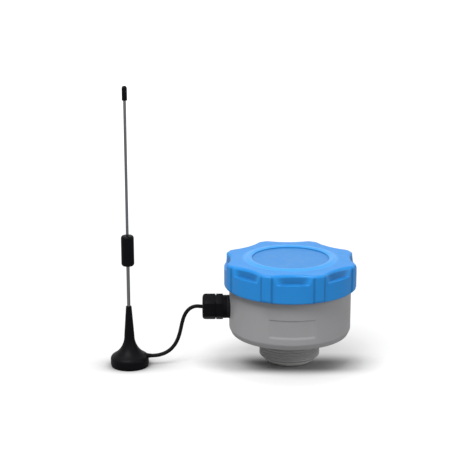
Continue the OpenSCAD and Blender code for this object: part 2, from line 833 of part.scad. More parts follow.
module gland_nut() color("black") difference() {
    corner_r = gland_flats / sqrt(3);
    intersection() {
        on_gland(nut_u) hexagon(gland_flats, gland_nut_len);
        on_gland(nut_u) rotate_extrude() {
            polygon([
                [0, 0],
                [corner_r - 0.6, 0],
                [corner_r, 0.6],
                [corner_r, gland_nut_len - nut_round],
                [0, gland_nut_len - nut_round]
            ]);
            square([corner_r - nut_round, gland_nut_len]);
            translate([corner_r - nut_round, gland_nut_len - nut_round])
                circle(r = nut_round);
        }
    }
    on_gland(nut_u - 1) cylinder(r = nut_thread_r, h = nut_cone_u - nut_u + 1);
    on_gland(nut_cone_u - eps)
        cylinder(r1 = nut_thread_r - 0.5, r2 = nut_mouth_r, h = nut_end_u - 0.6 - nut_cone_u);
    on_gland(nut_u) cylinder(r = nut_mouth_r, h = gland_nut_len + 1);
}

// Unit vector, tangent and cross-section ring of the cable's sweep
function unit(v) = v / norm(v);
function tangent(path, i) =
    unit(path[min(i + 1, len(path) - 1)] - path[max(i - 1, 0)]);
function ring_points(path, i, r, sides) =
    let (t = tangent(path, i), side = unit(cross(t, [0, 1, 0])), up = cross(t, side))
        [for (k = [0 : sides - 1])
            path[i] + r * (cos(360 * k / sides) * side + sin(360 * k / sides) * up)];

// A tube swept along a path
module swept_tube(path, r, sides) {
    rings = len(path);
    points = [for (i = [0 : rings - 1]) each ring_points(path, i, r, sides)];
    walls = [
        for (i = [0 : rings - 2])
            for (k = [0 : sides - 1])
                let (a = i * sides + k, b = i * sides + (k + 1) % sides)
                    [a, b, b + sides, a + sides]
    ];
    first = [for (k = [sides - 1 : -1 : 0]) k];
    last = [for (k = [0 : sides - 1]) (rings - 1) * sides + k];
    polyhedron(points, concat(walls, [first, last]), convexity = 6);
}

module antenna_cable() color("black") swept_tube(cable_route, cable_r, cable_sides);

// Radius of the foot's hollow flare at a height
function flare_at(z) = waist_r + flare_r - sqrt(pow(flare_r, 2) - pow(waist_z - z, 2));

module antenna_foot() color("black") difference() {
    flare_top = waist_z;
    flare_low = foot_edge_h + 1.6;
    steps = 16;
    translate(antenna_pos) rotate_extrude()
        polygon(concat(
            [
                [0, pad_t],
                [foot_r - 0.8, pad_t],
                [foot_r, pad_t + 0.8],
                [foot_r, foot_edge_h],
                [foot_r - 0.5, foot_edge_h + 1]
            ],
            [for (i = [0 : steps])
                let (z = flare_low + (flare_top - flare_low) * i / steps)
                    [min(flare_at(z), foot_r - 1), z]],
            [[whip_lower_r + 0.9, cone_z], [0, cone_z]]
        ));
    translate(antenna_pos) {
        translate([0, 0, -1]) cylinder(r = magnet_r + antenna_fit, h = insert_z + 1);
        cylinder(r = insert_r + antenna_fit, h = insert_z + insert_h + antenna_fit);
        cylinder(r = whip_lower_r + antenna_fit / 2, h = cone_z + 1);
    }
    translate([antenna_x, antenna_y, cable_entry_z]) rotate([0, 90, 0])
        cylinder(r = cable_r + antenna_fit, h = foot_r + 5);
    translate([antenna_x + boot_seat_x, antenna_y, cable_entry_z]) rotate([0, 90, 0])
        cylinder(r = boot_r + antenna_fit, h = foot_r);
}

module cable_boot() color("black")
    translate([antenna_x + boot_seat_x + 0.05, antenna_y, cable_entry_z])
        rotate([0, 90, 0]) difference() {
            boot_end = foot_r - boot_seat_x + boot_len - 2;
            rotate_extrude()
                polygon([
                    [0, 0],
                    [boot_r, 0],
                    [boot_r, boot_end - boot_len],
                    [cable_r + 0.5, boot_end],
                    [0, boot_end]
                ]);
            translate([0, 0, -1]) cylinder(r = cable_r + antenna_fit, h = 20);
        }

module antenna_magnet() color("gray")
    translate(antenna_pos + [0, 0, magnet_z]) cylinder(r = magnet_r, h = magnet_t);

module antenna_pad() color("dimgray")
    translate(antenna_pos) cylinder(r = foot_r - 0.6, h = pad_t);

module antenna_insert() color("goldenrod")
    translate(antenna_pos + [0, 0, insert_z]) difference() {
        cylinder(r = insert_r, h = insert_h);
        translate([0, 0, insert_h / 2]) cylinder(r = whip_lower_r + 0.02, h = insert_h);
    }

module whip_lower() color("silver")
    translate(antenna_pos + [0, 0, insert_z + insert_h / 2])
        cylinder(r = whip_lower_r, h = coil_z - insert_z - insert_h / 2);

module loading_coil() color("peru")
    translate(antenna_pos + [0, 0, coil_z]) cylinder(r = coil_r, h = coil_len);

module coil_sleeve() color("black") translate(antenna_pos) difference() {
    translate([0, 0, sleeve_z]) rotate_extrude()
        polygon([
            [0, 0],
            [sleeve_r - 0.8, 0],
            [sleeve_r, 0.8],
            [sleeve_r, sleeve_len - 0.8],
            [sleeve_r - 0.8, sleeve_len],
            [0, sleeve_len]
        ]);
    translate([0, 0, coil_z]) cylinder(r = coil_r + antenna_fit, h = coil_len);
    translate([0, 0, sleeve_z - 1]) cylinder(r = whip_lower_r + antenna_fit, h = 5);
    translate([0, 0, sleeve_z + sleeve_len - 4])
        cylinder(r = whip_upper_r + antenna_fit, h = 5);
}

module whip_upper() color("silver")
    translate(antenna_pos + [0, 0, coil_z + coil_len])
        cylinder(r = whip_upper_r, h = tip_z - tip_len + tip_socket_h - coil_z - coil_len);

module tip_cap() color("black")
    translate(antenna_pos + [0, 0, tip_z - tip_len]) difference() {
        rotate_extrude() {
            polygon([
                [0, 0],
                [tip_r - 0.4, 0],
                [tip_r, 0.4],
                [tip_r, tip_len - tip_r],
                [0, tip_len - tip_r]
            ]);
            translate([0, tip_len - tip_r]) intersection() {
                circle(r = tip_r, $fn = 48);
                square(tip_r + 1);
            }
        }
        translate([0, 0, -1]) cylinder(r = whip_upper_r + antenna_fit / 2, h = tip_socket_h + 1);
    }

housing();
process_stub();
lens();
lens_seal();
horn();
radar_board();
radar_chip();
radar_screws();
board_link();
main_board();
board_screws();
modem_module();
card_holder();
terminal_block();
buffer_capacitor();
coax_socket();
coax_plug();
cable_tail();
battery_cradle();
battery_contacts();
battery_cell();
battery_strap();
cap();
cap_gasket();
gland_washer();
gland_body();
gland_locknut();
gland_seal();
gland_nut();
antenna_cable();
cable_boot();
antenna_foot();
antenna_magnet();
antenna_pad();
antenna_insert();
whip_lower();
loading_coil();
coil_sleeve();
whip_upper();
tip_cap();
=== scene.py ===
"""Finishes the radar level transmitter: moulded surfaces, threads, cable and materials."""

import itertools
import json
import math
from functools import partialmethod

import bmesh
import bpy
from bpy.props import FloatProperty, FloatVectorProperty, IntProperty, PointerProperty
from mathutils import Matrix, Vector


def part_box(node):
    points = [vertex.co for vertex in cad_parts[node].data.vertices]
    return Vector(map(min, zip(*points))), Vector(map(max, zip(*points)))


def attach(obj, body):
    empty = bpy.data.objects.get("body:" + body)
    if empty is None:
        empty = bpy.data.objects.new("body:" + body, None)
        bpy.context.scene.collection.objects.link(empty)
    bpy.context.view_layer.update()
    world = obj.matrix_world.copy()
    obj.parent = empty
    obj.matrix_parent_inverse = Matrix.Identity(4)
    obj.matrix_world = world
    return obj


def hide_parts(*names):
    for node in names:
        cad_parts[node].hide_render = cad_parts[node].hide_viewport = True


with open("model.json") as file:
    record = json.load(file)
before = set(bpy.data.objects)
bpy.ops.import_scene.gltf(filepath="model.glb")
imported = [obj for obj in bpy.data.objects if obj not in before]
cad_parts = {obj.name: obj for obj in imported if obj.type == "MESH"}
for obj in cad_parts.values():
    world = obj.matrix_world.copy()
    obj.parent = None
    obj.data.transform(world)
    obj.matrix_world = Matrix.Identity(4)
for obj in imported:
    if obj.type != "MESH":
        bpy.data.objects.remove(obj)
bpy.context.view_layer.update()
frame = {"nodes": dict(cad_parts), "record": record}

bl_info = {
    "name": "Radar level transmitter",
    "version": (1, 0, 0),
    "blender": (4, 5, 0),
    "location": "View3D > Sidebar > Transmitter",
    "description": "Builds the finished surfaces of a radar level transmitter and its whip antenna",
    "category": "Add Mesh",
}

MM = 0.001
FULL_TURN = 2 * math.pi
# Lengths and radii closer than this are the same
SAME = 0.01 * MM
# Colour of the floor as the object sees it, and as the camera does beneath its glow
FLOOR_PALE = (0.38, 0.38, 0.38)
FLOOR_SEEN = (0.32, 0.32, 0.32)
# Painted shadow on the floor: how far from the object its glow is dimmed by occlusion, and the
# depths over which that fades
SHADOW_REACH = 40 * MM
SHADOW_FRONT = (-39 * MM, -21 * MM)
SHADOW_BACK = (-10 * MM, 16 * MM)
# Name, place and width of each lamp, and what they point at
LAMPS = (("key_lamp", (-0.42, -0.56, 1.38), 0.8), ("fill_lamp", (1.05, -0.42, 0.50), 0.6))
LAMP_AIM = Vector((-0.02, 0, 0.05))
# Flat part of a thread's crest, as a share of half its pitch
CREST_SHARE = 0.3
# Half the height over which a scallop's wall turns into the ledge at its foot
LEDGE_HALF = 0.3 * MM


# ---------------- sizes and colours


def length(name, note, millimetres):
    """A length that the user can change."""
    return FloatProperty(name=name, description=note, unit="LENGTH", default=millimetres * MM)


def paint(name, note, colour):
    """A colour that the user can change."""
    return FloatVectorProperty(
        name=name, description=note, subtype="COLOR", size=3, default=colour)


class StageSizes(bpy.types.PropertyGroup):
    """Camera and light."""

    camera_place: FloatVectorProperty(
        name="Camera place", description="Where the camera stands", subtype="TRANSLATION",
        unit="LENGTH", default=(-0.0474, -0.9981, 0.3760))
    camera_pitch: FloatProperty(
        name="Camera pitch", description="Angle below the horizon", subtype="ANGLE",
        default=math.radians(15.1))
    focal_length: FloatProperty(
        name="Focal length", description="In millimetres on a 36 mm sensor", default=103.7)
    key_power: FloatProperty(name="Key light", description="Power in watts", default=19.0)
    fill_power: FloatProperty(name="Fill light", description="Power in watts", default=3.1)
    sky: FloatProperty(name="Sky", description="Strength of the even light", default=0.25)


class CapSizes(bpy.types.PropertyGroup):
    """The screw cap."""

    lobes: IntProperty(name="Lobes", description="Number of grip lobes", default=8, min=3)
    lobe_width: length("Lobe width", "Across a lobe's face", 7.5)
    lobe_proud: length("Lobe height", "How far a lobe stands out", 1.0)
    scallop_depth: length("Scallop depth", "At the top of the cap", 5.3)
    scallop_height: length("Scallop height", "From its floor to the top", 7)
    scallop_taper: length("Scallop taper", "Lean of its wall over that height", 1.8)
    drum_radius: length("Drum radius", "Between the lobes", 52)
    bore_radius: length("Bore radius", "Of the thread's crests", 43.3)
    wall: length("Wall", "Of the threaded wall", 2.2)
    skirt: length("Skirt", "Thickness of the drum at its rim", 2.4)
    relief: length("Relief", "Height of the hollow between wall and skirt", 11)
    plate: length("Plate", "Thickness of the top", 2.6)
    ring_radius: length("Ring radius", "Of the raised ring's crest", 33)
    ring_height: length("Ring height", "Above the top", 1)
    ring_reach: length("Ring reach", "From the ring's crest to its foot", 3.6)
    field_radius: length("Field radius", "Of the sunk field", 30.1)
    field_depth: length("Field depth", "Below the top", 0.5)
    thread_pitch: length("Thread pitch", "Rise in one turn", 4)
    thread_depth: length("Thread depth", "Of the groove in the cap", 0.9)
    colour: paint("Colour", "Of the moulded cap", (0.024, 0.322, 0.870))
    # Painted highlight: the raised ring is tinted brighter than the rest of the cap
    ring_highlight_colour: paint("Ring colour", "Of the raised ring", (0.075, 0.43, 1.0))


class HousingSizes(bpy.types.PropertyGroup):
    """The housing and the stub."""

    radius: length("Radius", "Outside", 48)
    bevel_width: length("Bevel width", "Of the slope at the bottom", 2)
    bevel_height: length("Bevel height", "Of the slope at the bottom", 4.4)
    neck_radius: length("Neck radius", "At the thread's crests", 43)
    neck_depth: length("Neck thread depth", "Of the groove in the neck", 1.2)
    neck_bore: length("Neck bore", "Radius inside the neck", 39.5)
    cavity_radius: length("Cavity radius", "Radius inside the bowl", 44.5)
    boss_radius: length("Boss radius", "Of a board boss at its foot", 3.4)
    boss_bore: length("Boss bore", "Radius of the screw's hole", 1.55)
    boss_circle: length("Boss circle", "Radius on which the board bosses stand", 32.5)
    stub_radius: length("Stub radius", "At the thread's crests", 23.9)
    stub_bore: length("Stub bore", "Radius above the lens", 17.5)
    stub_seat: length("Lens seat", "Radius of the seat in the stub's end", 20.2)
    seat_depth: length("Seat depth", "Of the lens's seat in the stub's end", 4)
    spigot_radius: length("Spigot radius", "Of the stub in the housing's floor", 21.9)
    stub_pitch: length("Stub pitch", "Rise in one turn", 2.309)
    stub_depth: length("Stub thread depth", "Of the groove in the stub", 0.6)
    label_width: length("Label width", "Of the bare label field", 35)
    label_height: length("Label height", "Of the bare label field", 14)
    label_rise: length("Label rise", "From the bottom to the field's middle", 17)
    label_depth: length("Label depth", "Of the bare label field", 0.5)
    colour: paint("Colour", "Of the housing", (0.42, 0.42, 0.43))
    stub_colour: paint("Stub colour", "Of the stub", (0.40, 0.40, 0.40))


class AntennaSizes(bpy.types.PropertyGroup):
    """The antenna and its cable."""

    cable_radius: length("Cable radius", "Of the coaxial cable", 1.5)
    cable_length: length("Cable length", "From the gland's seal into the foot", 84)
    edge_height: length("Edge height", "Of the foot's upright edge", 6.6)
    flare_radius: length("Flare radius", "Of the foot's hollow flare", 18)
    waist_height: length("Waist height", "Where the cone of the foot is straight", 24.5)
    waist_radius: length("Waist radius", "Of the cone there", 4)
    cone_radius: length("Cone radius", "Of the foot's cone at its top", 2.2)
    colour: paint("Colour", "Of the black plastic", (0.005, 0.005, 0.006))


GROUPS = {"tx_stage": StageSizes, "tx_cap": CapSizes, "tx_housing": HousingSizes,
          "tx_antenna": AntennaSizes}


# ---------------- node trees


class Value:
    """A socket of a node tree, on which arithmetic adds Math nodes."""

    def __init__(self, graph, socket):
        self.graph = graph
        self.socket = socket

    def run(self, operation, *others):
        """A Math node on this value and others."""
        values = dict(enumerate((self,) + others))
        return self.graph.add("ShaderNodeMath", values, operation=operation)[0]

    __add__ = __radd__ = partialmethod(run, "ADD")
    __sub__ = partialmethod(run, "SUBTRACT")
    __mul__ = __rmul__ = partialmethod(run, "MULTIPLY")
    __truediv__ = partialmethod(run, "DIVIDE")
    fraction = partialmethod(run, "FRACT")
    size = partialmethod(run, "ABSOLUTE")
    root = partialmethod(run, "SQRT")
    at_most = partialmethod(run, "MINIMUM")
    at_least = partialmethod(run, "MAXIMUM")
    above = partialmethod(run, "GREATER_THAN")
    below = partialmethod(run, "LESS_THAN")

    def __rsub__(self, other):
        return (self * -1) + other

    def __rtruediv__(self, other):
        return self.graph.add("ShaderNodeMath", {0: other, 1: self}, operation="DIVIDE")[0]

    def fade(self, start, end):
        """0 at start, 1 at end, with a smooth passage."""
        values = {0: self, 1: start, 2: end, 3: 0.0, 4: 1.0}
        return self.graph.add("ShaderNodeMapRange", values, interpolation_type="SMOOTHSTEP")[0]


class Graph:
    """Adds nodes to a tree."""

    def __init__(self, tree):
        self.tree = tree

    def add(self, kind, values=None, **settings):
        node = self.tree.nodes.new(kind)
        for key, setting in settings.items():
            setattr(node, key, setting)
        for key, value in (values or {}).items():
            self.feed(node.inputs[key], value)
        return [Value(self, socket) for socket in node.outputs if socket.enabled]

    def feed(self, socket, value):
        if isinstance(value, Value):
            self.tree.links.new(value.socket, socket)
        else:
            socket.default_value = value

    def split(self, vector):
        return self.add("ShaderNodeSeparateXYZ", {0: vector})

    def join(self, x, y, z):
        return self.add("ShaderNodeCombineXYZ", {0: x, 1: y, 2: z})[0]

    def blend(self, factor, first, second):
        """A colour between two colours."""
        values = {0: factor, 6: first, 7: second}
        return self.add("ShaderNodeMix", values, data_type="RGBA")[0]

    def near_to(self, reach, samples):
        """1 in the open, less where other surfaces lie within reach."""
        return self.add("ShaderNodeAmbientOcclusion", {"Distance": reach}, samples=samples)[1]


def rgba(colour, gain=1.0):
    """A colour with its alpha, made lighter or darker."""
    return tuple(min(1.0, part * gain) for part in colour) + (1.0,)


class Finish(Graph):
    """The node tree of a material, on Object coordinates."""

    def __init__(self, name, colour, roughness, metallic=0.0, shine=0.25):
        self.material = bpy.data.materials.new(name)
        self.material.use_nodes = True
        super().__init__(self.material.node_tree)
        self.shader = self.tree.nodes["Principled BSDF"]
        self.give("Base Color", rgba(colour))
        self.give("Roughness", roughness)
        self.give("Metallic", metallic)
        self.give("Specular IOR Level", shine)
        self.place = self.add("ShaderNodeTexCoord")[3]

    def give(self, name, value):
        """Sets or links an input of the material's shader."""
        self.feed(self.shader.inputs[name], value)

    def noise(self, scale, detail=2.0, stretch=(1, 1, 1)):
        """Noise with that many cells a metre, drawn out along an axis by a small stretch."""
        place = self.place
        if stretch != (1, 1, 1):
            values = {0: place, 1: stretch}
            place = self.add("ShaderNodeVectorMath", values, operation="MULTIPLY")[0]
        values = {"Vector": place, "Scale": scale, "Detail": detail}
        return self.add("ShaderNodeTexNoise", values)[0]

    def bump(self, height, depth):
        """A bump of that depth in metres."""
        values = {"Height": height, "Distance": depth, "Strength": 1.0}
        self.give("Normal", self.add("ShaderNodeBump", values)[0])


def plastic(name, colour, roughness, grain, shine=0.25):
    """Plastic of one colour, with spark-eroded grain and uneven gloss."""
    finish = Finish(name, colour, roughness, shine=shine)
    finish.give("Roughness", (finish.noise(160, 4) - 0.5) * 0.16 + roughness)
    finish.bump(finish.noise(1500, 2), grain)
    return finish


def moulded(name, colour, roughness, grain=0.05 * MM, drift=0.06, shine=0.25):
    """Moulded plastic whose colour drifts a little."""
    finish = plastic(name, colour, roughness, grain, shine)
    finish.give("Base Color", finish.blend(
        finish.noise(55, 3), rgba(colour, 1 - drift), rgba(colour, 1 + drift)))
    return finish


def rubbery(name, colour, roughness):
    """Rubber: dull, faintly dusty, with a soft grain."""
    finish = Finish(name, colour, roughness, shine=0.08)
    dust = finish.noise(90, 5).fade(0.45, 0.75)
    finish.give("Base Color", finish.blend(dust, rgba(colour), rgba(colour, 1.4)))
    finish.give("Roughness", dust * 0.12 + roughness)
    finish.bump(finish.noise(900, 3), 0.006 * MM)
    return finish


def drawn_metal(name, colour, roughness, stretch=(1, 1, 0.03), grain=900.0):
    """Drawn or turned metal: fine lines along one direction."""
    finish = Finish(name, colour, roughness, 1.0, 0.5)
    lines = finish.noise(grain, 3, stretch)
    finish.give("Base Color", finish.blend(lines, rgba(colour, 0.88), rgba(colour, 1.08)))
    finish.give("Roughness", (lines - 0.5) * 0.22 + roughness)
    finish.bump(lines, 0.003 * MM)
    return finish


def circuit_board(name, colour):
    """Lacquered circuit board: traces, pads and plated holes."""
    finish = Finish(name, colour, 0.32)
    x, y, _ = finish.split(finish.place)
    values = {"W": x * 260, "Scale": 1.0, "Detail": 0.0}
    patch_x = finish.add("ShaderNodeTexNoise", values, noise_dimensions="1D")[0]
    lane = ((y + (patch_x - 0.5).run("ROUND") * 2 * MM) / (1.1 * MM)).fraction()
    trace = (lane - 0.5).size().below(0.17) * finish.noise(120, 1).above(0.5)
    lane = (x / (1.3 * MM)).fraction()
    copper = trace.at_least((lane - 0.5).size().below(0.14) * finish.noise(95, 1).below(0.44))
    cell_x, cell_y = (((place / (pitch * MM)).fraction() - 0.5) * pitch
                      for place, pitch in ((x, 3.1), (y, 3.7)))
    away = (cell_x * cell_x + cell_y * cell_y).root()
    scarce = finish.noise(210, 0).above(0.52)
    pad = away.below(0.42) * scarce
    hole = away.below(0.18) * scarce
    lacquer = finish.blend(copper, rgba(colour), rgba(colour, 1.9))
    plated = finish.blend(pad, lacquer, (0.60, 0.50, 0.30, 1))
    finish.give("Base Color", finish.blend(hole, plated, (0.01, 0.01, 0.01, 1)))
    finish.give("Metallic", pad * (1 - hole))
    finish.bump(copper * 0.6 + pad * 0.8 - hole, 0.05 * MM)
    return finish


def wrapped_cell(name, colour):
    """Shrink wrap of the cell: a plain green sleeve with a pale band at one end."""
    finish = Finish(name, colour, 0.3)
    _, y, _ = finish.split(finish.place)
    low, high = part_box("battery_cell")
    along = (y - low[1]) / (high[1] - low[1])
    band = along.fade(0.80, 0.803) * (1 - along.fade(0.90, 0.903))
    metal = along.above(0.981)
    wrapped = finish.blend(band, rgba(colour), (0.62, 0.64, 0.60, 1))
    finish.give("Base Color", finish.blend(metal, wrapped, (0.62, 0.61, 0.58, 1)))
    finish.give("Metallic", metal)
    finish.bump(finish.noise(60, 2, (1, 4, 1)), 0.12 * MM)
    return finish


def cap_plastic(sizes):
    """The cap's plastic: a darker sunk field, a raised ring painted brighter as a highlight, and
    painted shade on the scallops, beside the lobes and in creases.
    """
    colour = sizes.colour
    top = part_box("cap")[1][2] - sizes.ring_height
    drum = sizes.drum_radius
    finish = plastic("cap_plastic", colour, 0.36, 0.03 * MM)
    x, y, z = finish.split(finish.place)
    out = (x * x + y * y).root()
    upper = z.fade(top - 1.6 * MM, top - 0.8 * MM)
    # The sunk field is tinted darker; the raised ring is painted brighter as a highlight on its
    # crest
    field_edge = sizes.field_radius
    field = 1 - out.fade(field_edge - 0.9 * MM, field_edge + 0.1 * MM)
    ring_foot = sizes.ring_radius + sizes.ring_reach
    ring = out.fade(field_edge - 0.5 * MM, field_edge + 0.9 * MM) * (
        1 - out.fade(ring_foot - 1.1 * MM, ring_foot + 2.4 * MM))
    toned = finish.blend(field * upper, rgba(colour), rgba(colour, 0.88))
    toned = finish.blend(ring * upper, toned, rgba(sizes.ring_highlight_colour))
    pitch = FULL_TURN / sizes.lobes
    lobe_half = math.asin(sizes.lobe_width / 2 / drum)
    angle = y.run("ARCTAN2", x) + FULL_TURN / 4
    from_lobe = ((angle / pitch).fraction() - 0.5).size() * pitch
    # Painted shade: darker bands beside each lobe's flanks and inside the scallops, on the drum's
    # side
    side = out.above(drum - 8 * MM) * (1 - z.fade(top - 2.6 * MM, top - 1.2 * MM))
    flank_shade = 1 - (from_lobe / lobe_half - 1.15).size().fade(0.05, 0.35)
    ledge = top - sizes.scallop_height
    scallop_shade = (1 - out.fade(drum - 3.4 * MM, drum - 0.4 * MM)) * z.fade(ledge, ledge + 1.5 * MM)
    toned = finish.blend((flank_shade * 0.55).at_least(scallop_shade * 0.75) * side, toned, rgba(colour, 0.5))
    # Painted shade in creases and hollows, from occlusion, with a faint random mottle added
    crease_shade = 1 - finish.near_to(reach=9 * MM, samples=12)
    crease_shade_and_mottle = (crease_shade * 1.7 + finish.noise(55, 3) * 0.1).at_most(1.0)
    finish.give("Base Color", finish.blend(crease_shade_and_mottle, toned, rgba(colour, 0.3)))
    return finish


def make_finishes(scene):
    """All the materials, by their slot in the record."""
    black = scene.tx_antenna.colour
    makers = {
        "housing_grey": moulded("housing_plastic", scene.tx_housing.colour, 0.36),
        "stub_grey": moulded("stub_plastic", scene.tx_housing.stub_colour, 0.40),
        "cap_blue": cap_plastic(scene.tx_cap),
        "lens_plastic": moulded("lens_plastic", (0.74, 0.75, 0.73), 0.28, grain=0.01 * MM),
        "black_plastic": moulded("black_nylon", black, 0.42, drift=0.15, shine=0.06),
        "black_rubber": rubbery("black_rubber", (0.005, 0.005, 0.006), 0.5),
        "seal_rubber": rubbery("seal_rubber", (0.012, 0.012, 0.013), 0.66),
        "board_green": circuit_board("circuit_board", (0.012, 0.120, 0.045)),
        "component_black": moulded("component_body", (0.022, 0.022, 0.024), 0.5, drift=0.12),
        "terminal_green": moulded("terminal_body", (0.05, 0.30, 0.09), 0.42),
        "capacitor_sleeve": moulded("capacitor_sleeve", (0.020, 0.035, 0.11), 0.3),
        "cell_wrap": wrapped_cell("cell_wrap", (0.03, 0.22, 0.13)),
        "aluminium_cast": drawn_metal("turned_aluminium", (0.70, 0.71, 0.72), 0.34, (1, 1, 1)),
        "shield_tin": drawn_metal("tinned_shield", (0.66, 0.67, 0.68), 0.32, (0.05, 1, 1), 700),
        "screw_steel": drawn_metal("screw_steel", (0.60, 0.61, 0.62), 0.28, (1, 1, 1), 1400),
        "spring_strip": drawn_metal("spring_strip", (0.66, 0.64, 0.58), 0.24, (1, 1, 0.05)),
        "whip_steel": drawn_metal("whip_steel", (0.21, 0.21, 0.22), 0.30),
        "plug_brass": drawn_metal("plug_brass", (0.72, 0.52, 0.22), 0.26, (1, 1, 1), 1200),
        "coil_copper": drawn_metal("coil_copper", (0.62, 0.28, 0.14), 0.3, (1, 1, 30), 60),
        "magnet_grey": drawn_metal("magnet_nickel", (0.30, 0.30, 0.31), 0.36, (1, 1, 1), 500),
    }
    return {slot: finish.material for slot, finish in makers.items()}


# The material of each slot, and of each node its slot and the body that carries it
FINISHES = {}
SLOTS = {part["node"]: part["material_slot"] for part in frame["record"]["subparts"]}
BODIES = {node: body for body, nodes in frame["record"]["behaviour"]["bodies"].items()
          for node in nodes}


def dress(piece, slot):
    """Gives a piece the finish of a slot."""
    piece.data.materials.clear()
    piece.data.materials.append(FINISHES[slot])


def stand_for(piece, node):
    """The piece takes its node's place, body and finish."""
    dress(piece, SLOTS[node])
    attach(piece, BODIES[node])
    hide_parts(node)


# ---------------- mesh helpers


def link(name, data):
    """A new object with that data, in the scene."""
    piece = bpy.data.objects.new(name, data)
    bpy.context.scene.collection.objects.link(piece)
    return piece


def smooth(piece, angle=32.0):
    """Shades smooth, with creases over that angle in degrees."""
    piece.data.shade_smooth()
    piece.data.set_sharp_from_angle(angle=math.radians(angle))


def rounded(corners):
    """Rounds the corners of a closed outline.

    A corner is (r, z, radius), with the radius in millimetres; the result is (r, z) points.
    """
    points = []
    for index, (r, z, radius) in enumerate(corners):
        if radius == 0:
            points.append((r, z))
            continue
        here = Vector((r, z))
        before = Vector(corners[index - 1][:2])
        after = Vector(corners[(index + 1) % len(corners)][:2])
        reach = min(radius * MM, 0.48 * (before - here).length, 0.48 * (after - here).length)
        first = here + (before - here).normalized() * reach
        last = here + (after - here).normalized() * reach
        for t in (0, 0.2, 0.4, 0.6, 0.8, 1):
            spot = first * (1 - t) ** 2 + here * 2 * t * (1 - t) + last * t ** 2
            points.append((spot.x, spot.y))
    return points


def refined(points, longest, *fine):
    """Splits long edges of a closed outline; fine holds (low, high, longest) bands of radius."""
    result = []
    for index, point in enumerate(points):
        after = points[(index + 1) % len(points)]
        limits = [limit for low, high, limit in fine
                  if low < min(point[0], after[0]) and max(point[0], after[0]) < high]
        pieces = max(1, math.ceil(math.dist(point, after) / (limits or [longest])[0]))
        for step in range(pieces):
            t = step / pieces
            result.append((point[0] + (after[0] - point[0]) * t,
                           point[1] + (after[1] - point[1]) * t))
    return result


def at_radius(radius, longest):
    """The band for refined that holds the edges at one radius."""
    return radius - SAME, radius + SAME, longest


def turned(name, outline, steps, centre=(0.0, 0.0, 0.0), along=0):
    """Turns a closed outline of (r, z) points about an axis through centre; points on it merge.

    The axis points up, or along X where along is 1, or against it where along is -1.
    """
    vertices = []
    rings = []
    for r, z in outline:
        if r == 0:
            rings.append([len(vertices)] * steps)
            vertices.append((0.0, 0.0, z))
            continue
        rings.append(list(range(len(vertices), len(vertices) + steps)))
        for step in range(steps):
            angle = FULL_TURN * step / steps
            vertices.append((r * math.cos(angle), r * math.sin(angle), z))
    faces = []
    for index, ring in enumerate(rings):
        after = rings[(index + 1) % len(rings)]
        for step in range(steps):
            follow = (step + 1) % steps
            face = list(dict.fromkeys((ring[step], ring[follow], after[follow], after[step])))
            if len(face) > 2:
                faces.append(face)
    if along:
        vertices = [(along * z, y, x) for x, y, z in vertices]
    vertices = [(x + centre[0], y + centre[1], z + centre[2]) for x, y, z in vertices]
    mesh = bpy.data.meshes.new(name)
    mesh.from_pydata(vertices, [], faces)
    mesh.validate()
    face_outwards(mesh)
    piece = link(name, mesh)
    smooth(piece)
    return piece


def face_outwards(mesh):
    """Turns the faces of closed shells outwards."""
    shape = bmesh.new()
    shape.from_mesh(mesh)
    bmesh.ops.remove_doubles(shape, verts=shape.verts, dist=SAME / 100)
    bmesh.ops.recalc_face_normals(shape, faces=shape.faces)
    shape.to_mesh(mesh)
    shape.free()


def round_edges(piece, width, segments=2):
    """Rounds the edges of a piece's mesh that bend by more than 30 degrees."""
    bevel = piece.modifiers.new("edges", "BEVEL")
    bevel.width = width
    bevel.segments = segments
    bevel.limit_method = "ANGLE"
    bevel.angle_limit = math.radians(30)
    settle(piece)


def softened(node, width, segments=2):
    """A copy of a node's mesh with its true edges rounded."""
    mesh = frame["nodes"][node].data.copy()
    shape = bmesh.new()
    shape.from_mesh(mesh)
    bmesh.ops.remove_doubles(shape, verts=shape.verts, dist=SAME / 5)
    bmesh.ops.dissolve_limit(
        shape, angle_limit=math.radians(0.5), verts=shape.verts, edges=shape.edges)
    shape.to_mesh(mesh)
    shape.free()
    if "custom_normal" in mesh.attributes:
        mesh.attributes.remove(mesh.attributes["custom_normal"])
    mesh.materials.clear()
    piece = link(node + "_soft", mesh)
    round_edges(piece, width, segments)
    smooth(piece, 40)
    return piece


def settle(piece):
    """Turns a piece's modifiers into plain mesh."""
    shown = piece.evaluated_get(bpy.context.evaluated_depsgraph_get())
    plain = bpy.data.meshes.new_from_object(shown)
    old = piece.data
    piece.modifiers.clear()
    piece.data = plain
    plain.name = piece.name
    bpy.data.meshes.remove(old)


def joined(name, pieces):
    """Joins pieces into one object."""
    with bpy.context.temp_override(active_object=pieces[0], selected_editable_objects=pieces):
        bpy.ops.object.join()
    pieces[0].name = name
    return pieces[0]


def stand_turned(name, node, corners, steps, centre=(0.0, 0.0, 0.0), along=0):
    """Turns a piece from the corners of its outline, to stand for a node."""
    stand_for(turned(name, rounded(corners), steps, centre, along), node)


# ---------------- geometry nodes


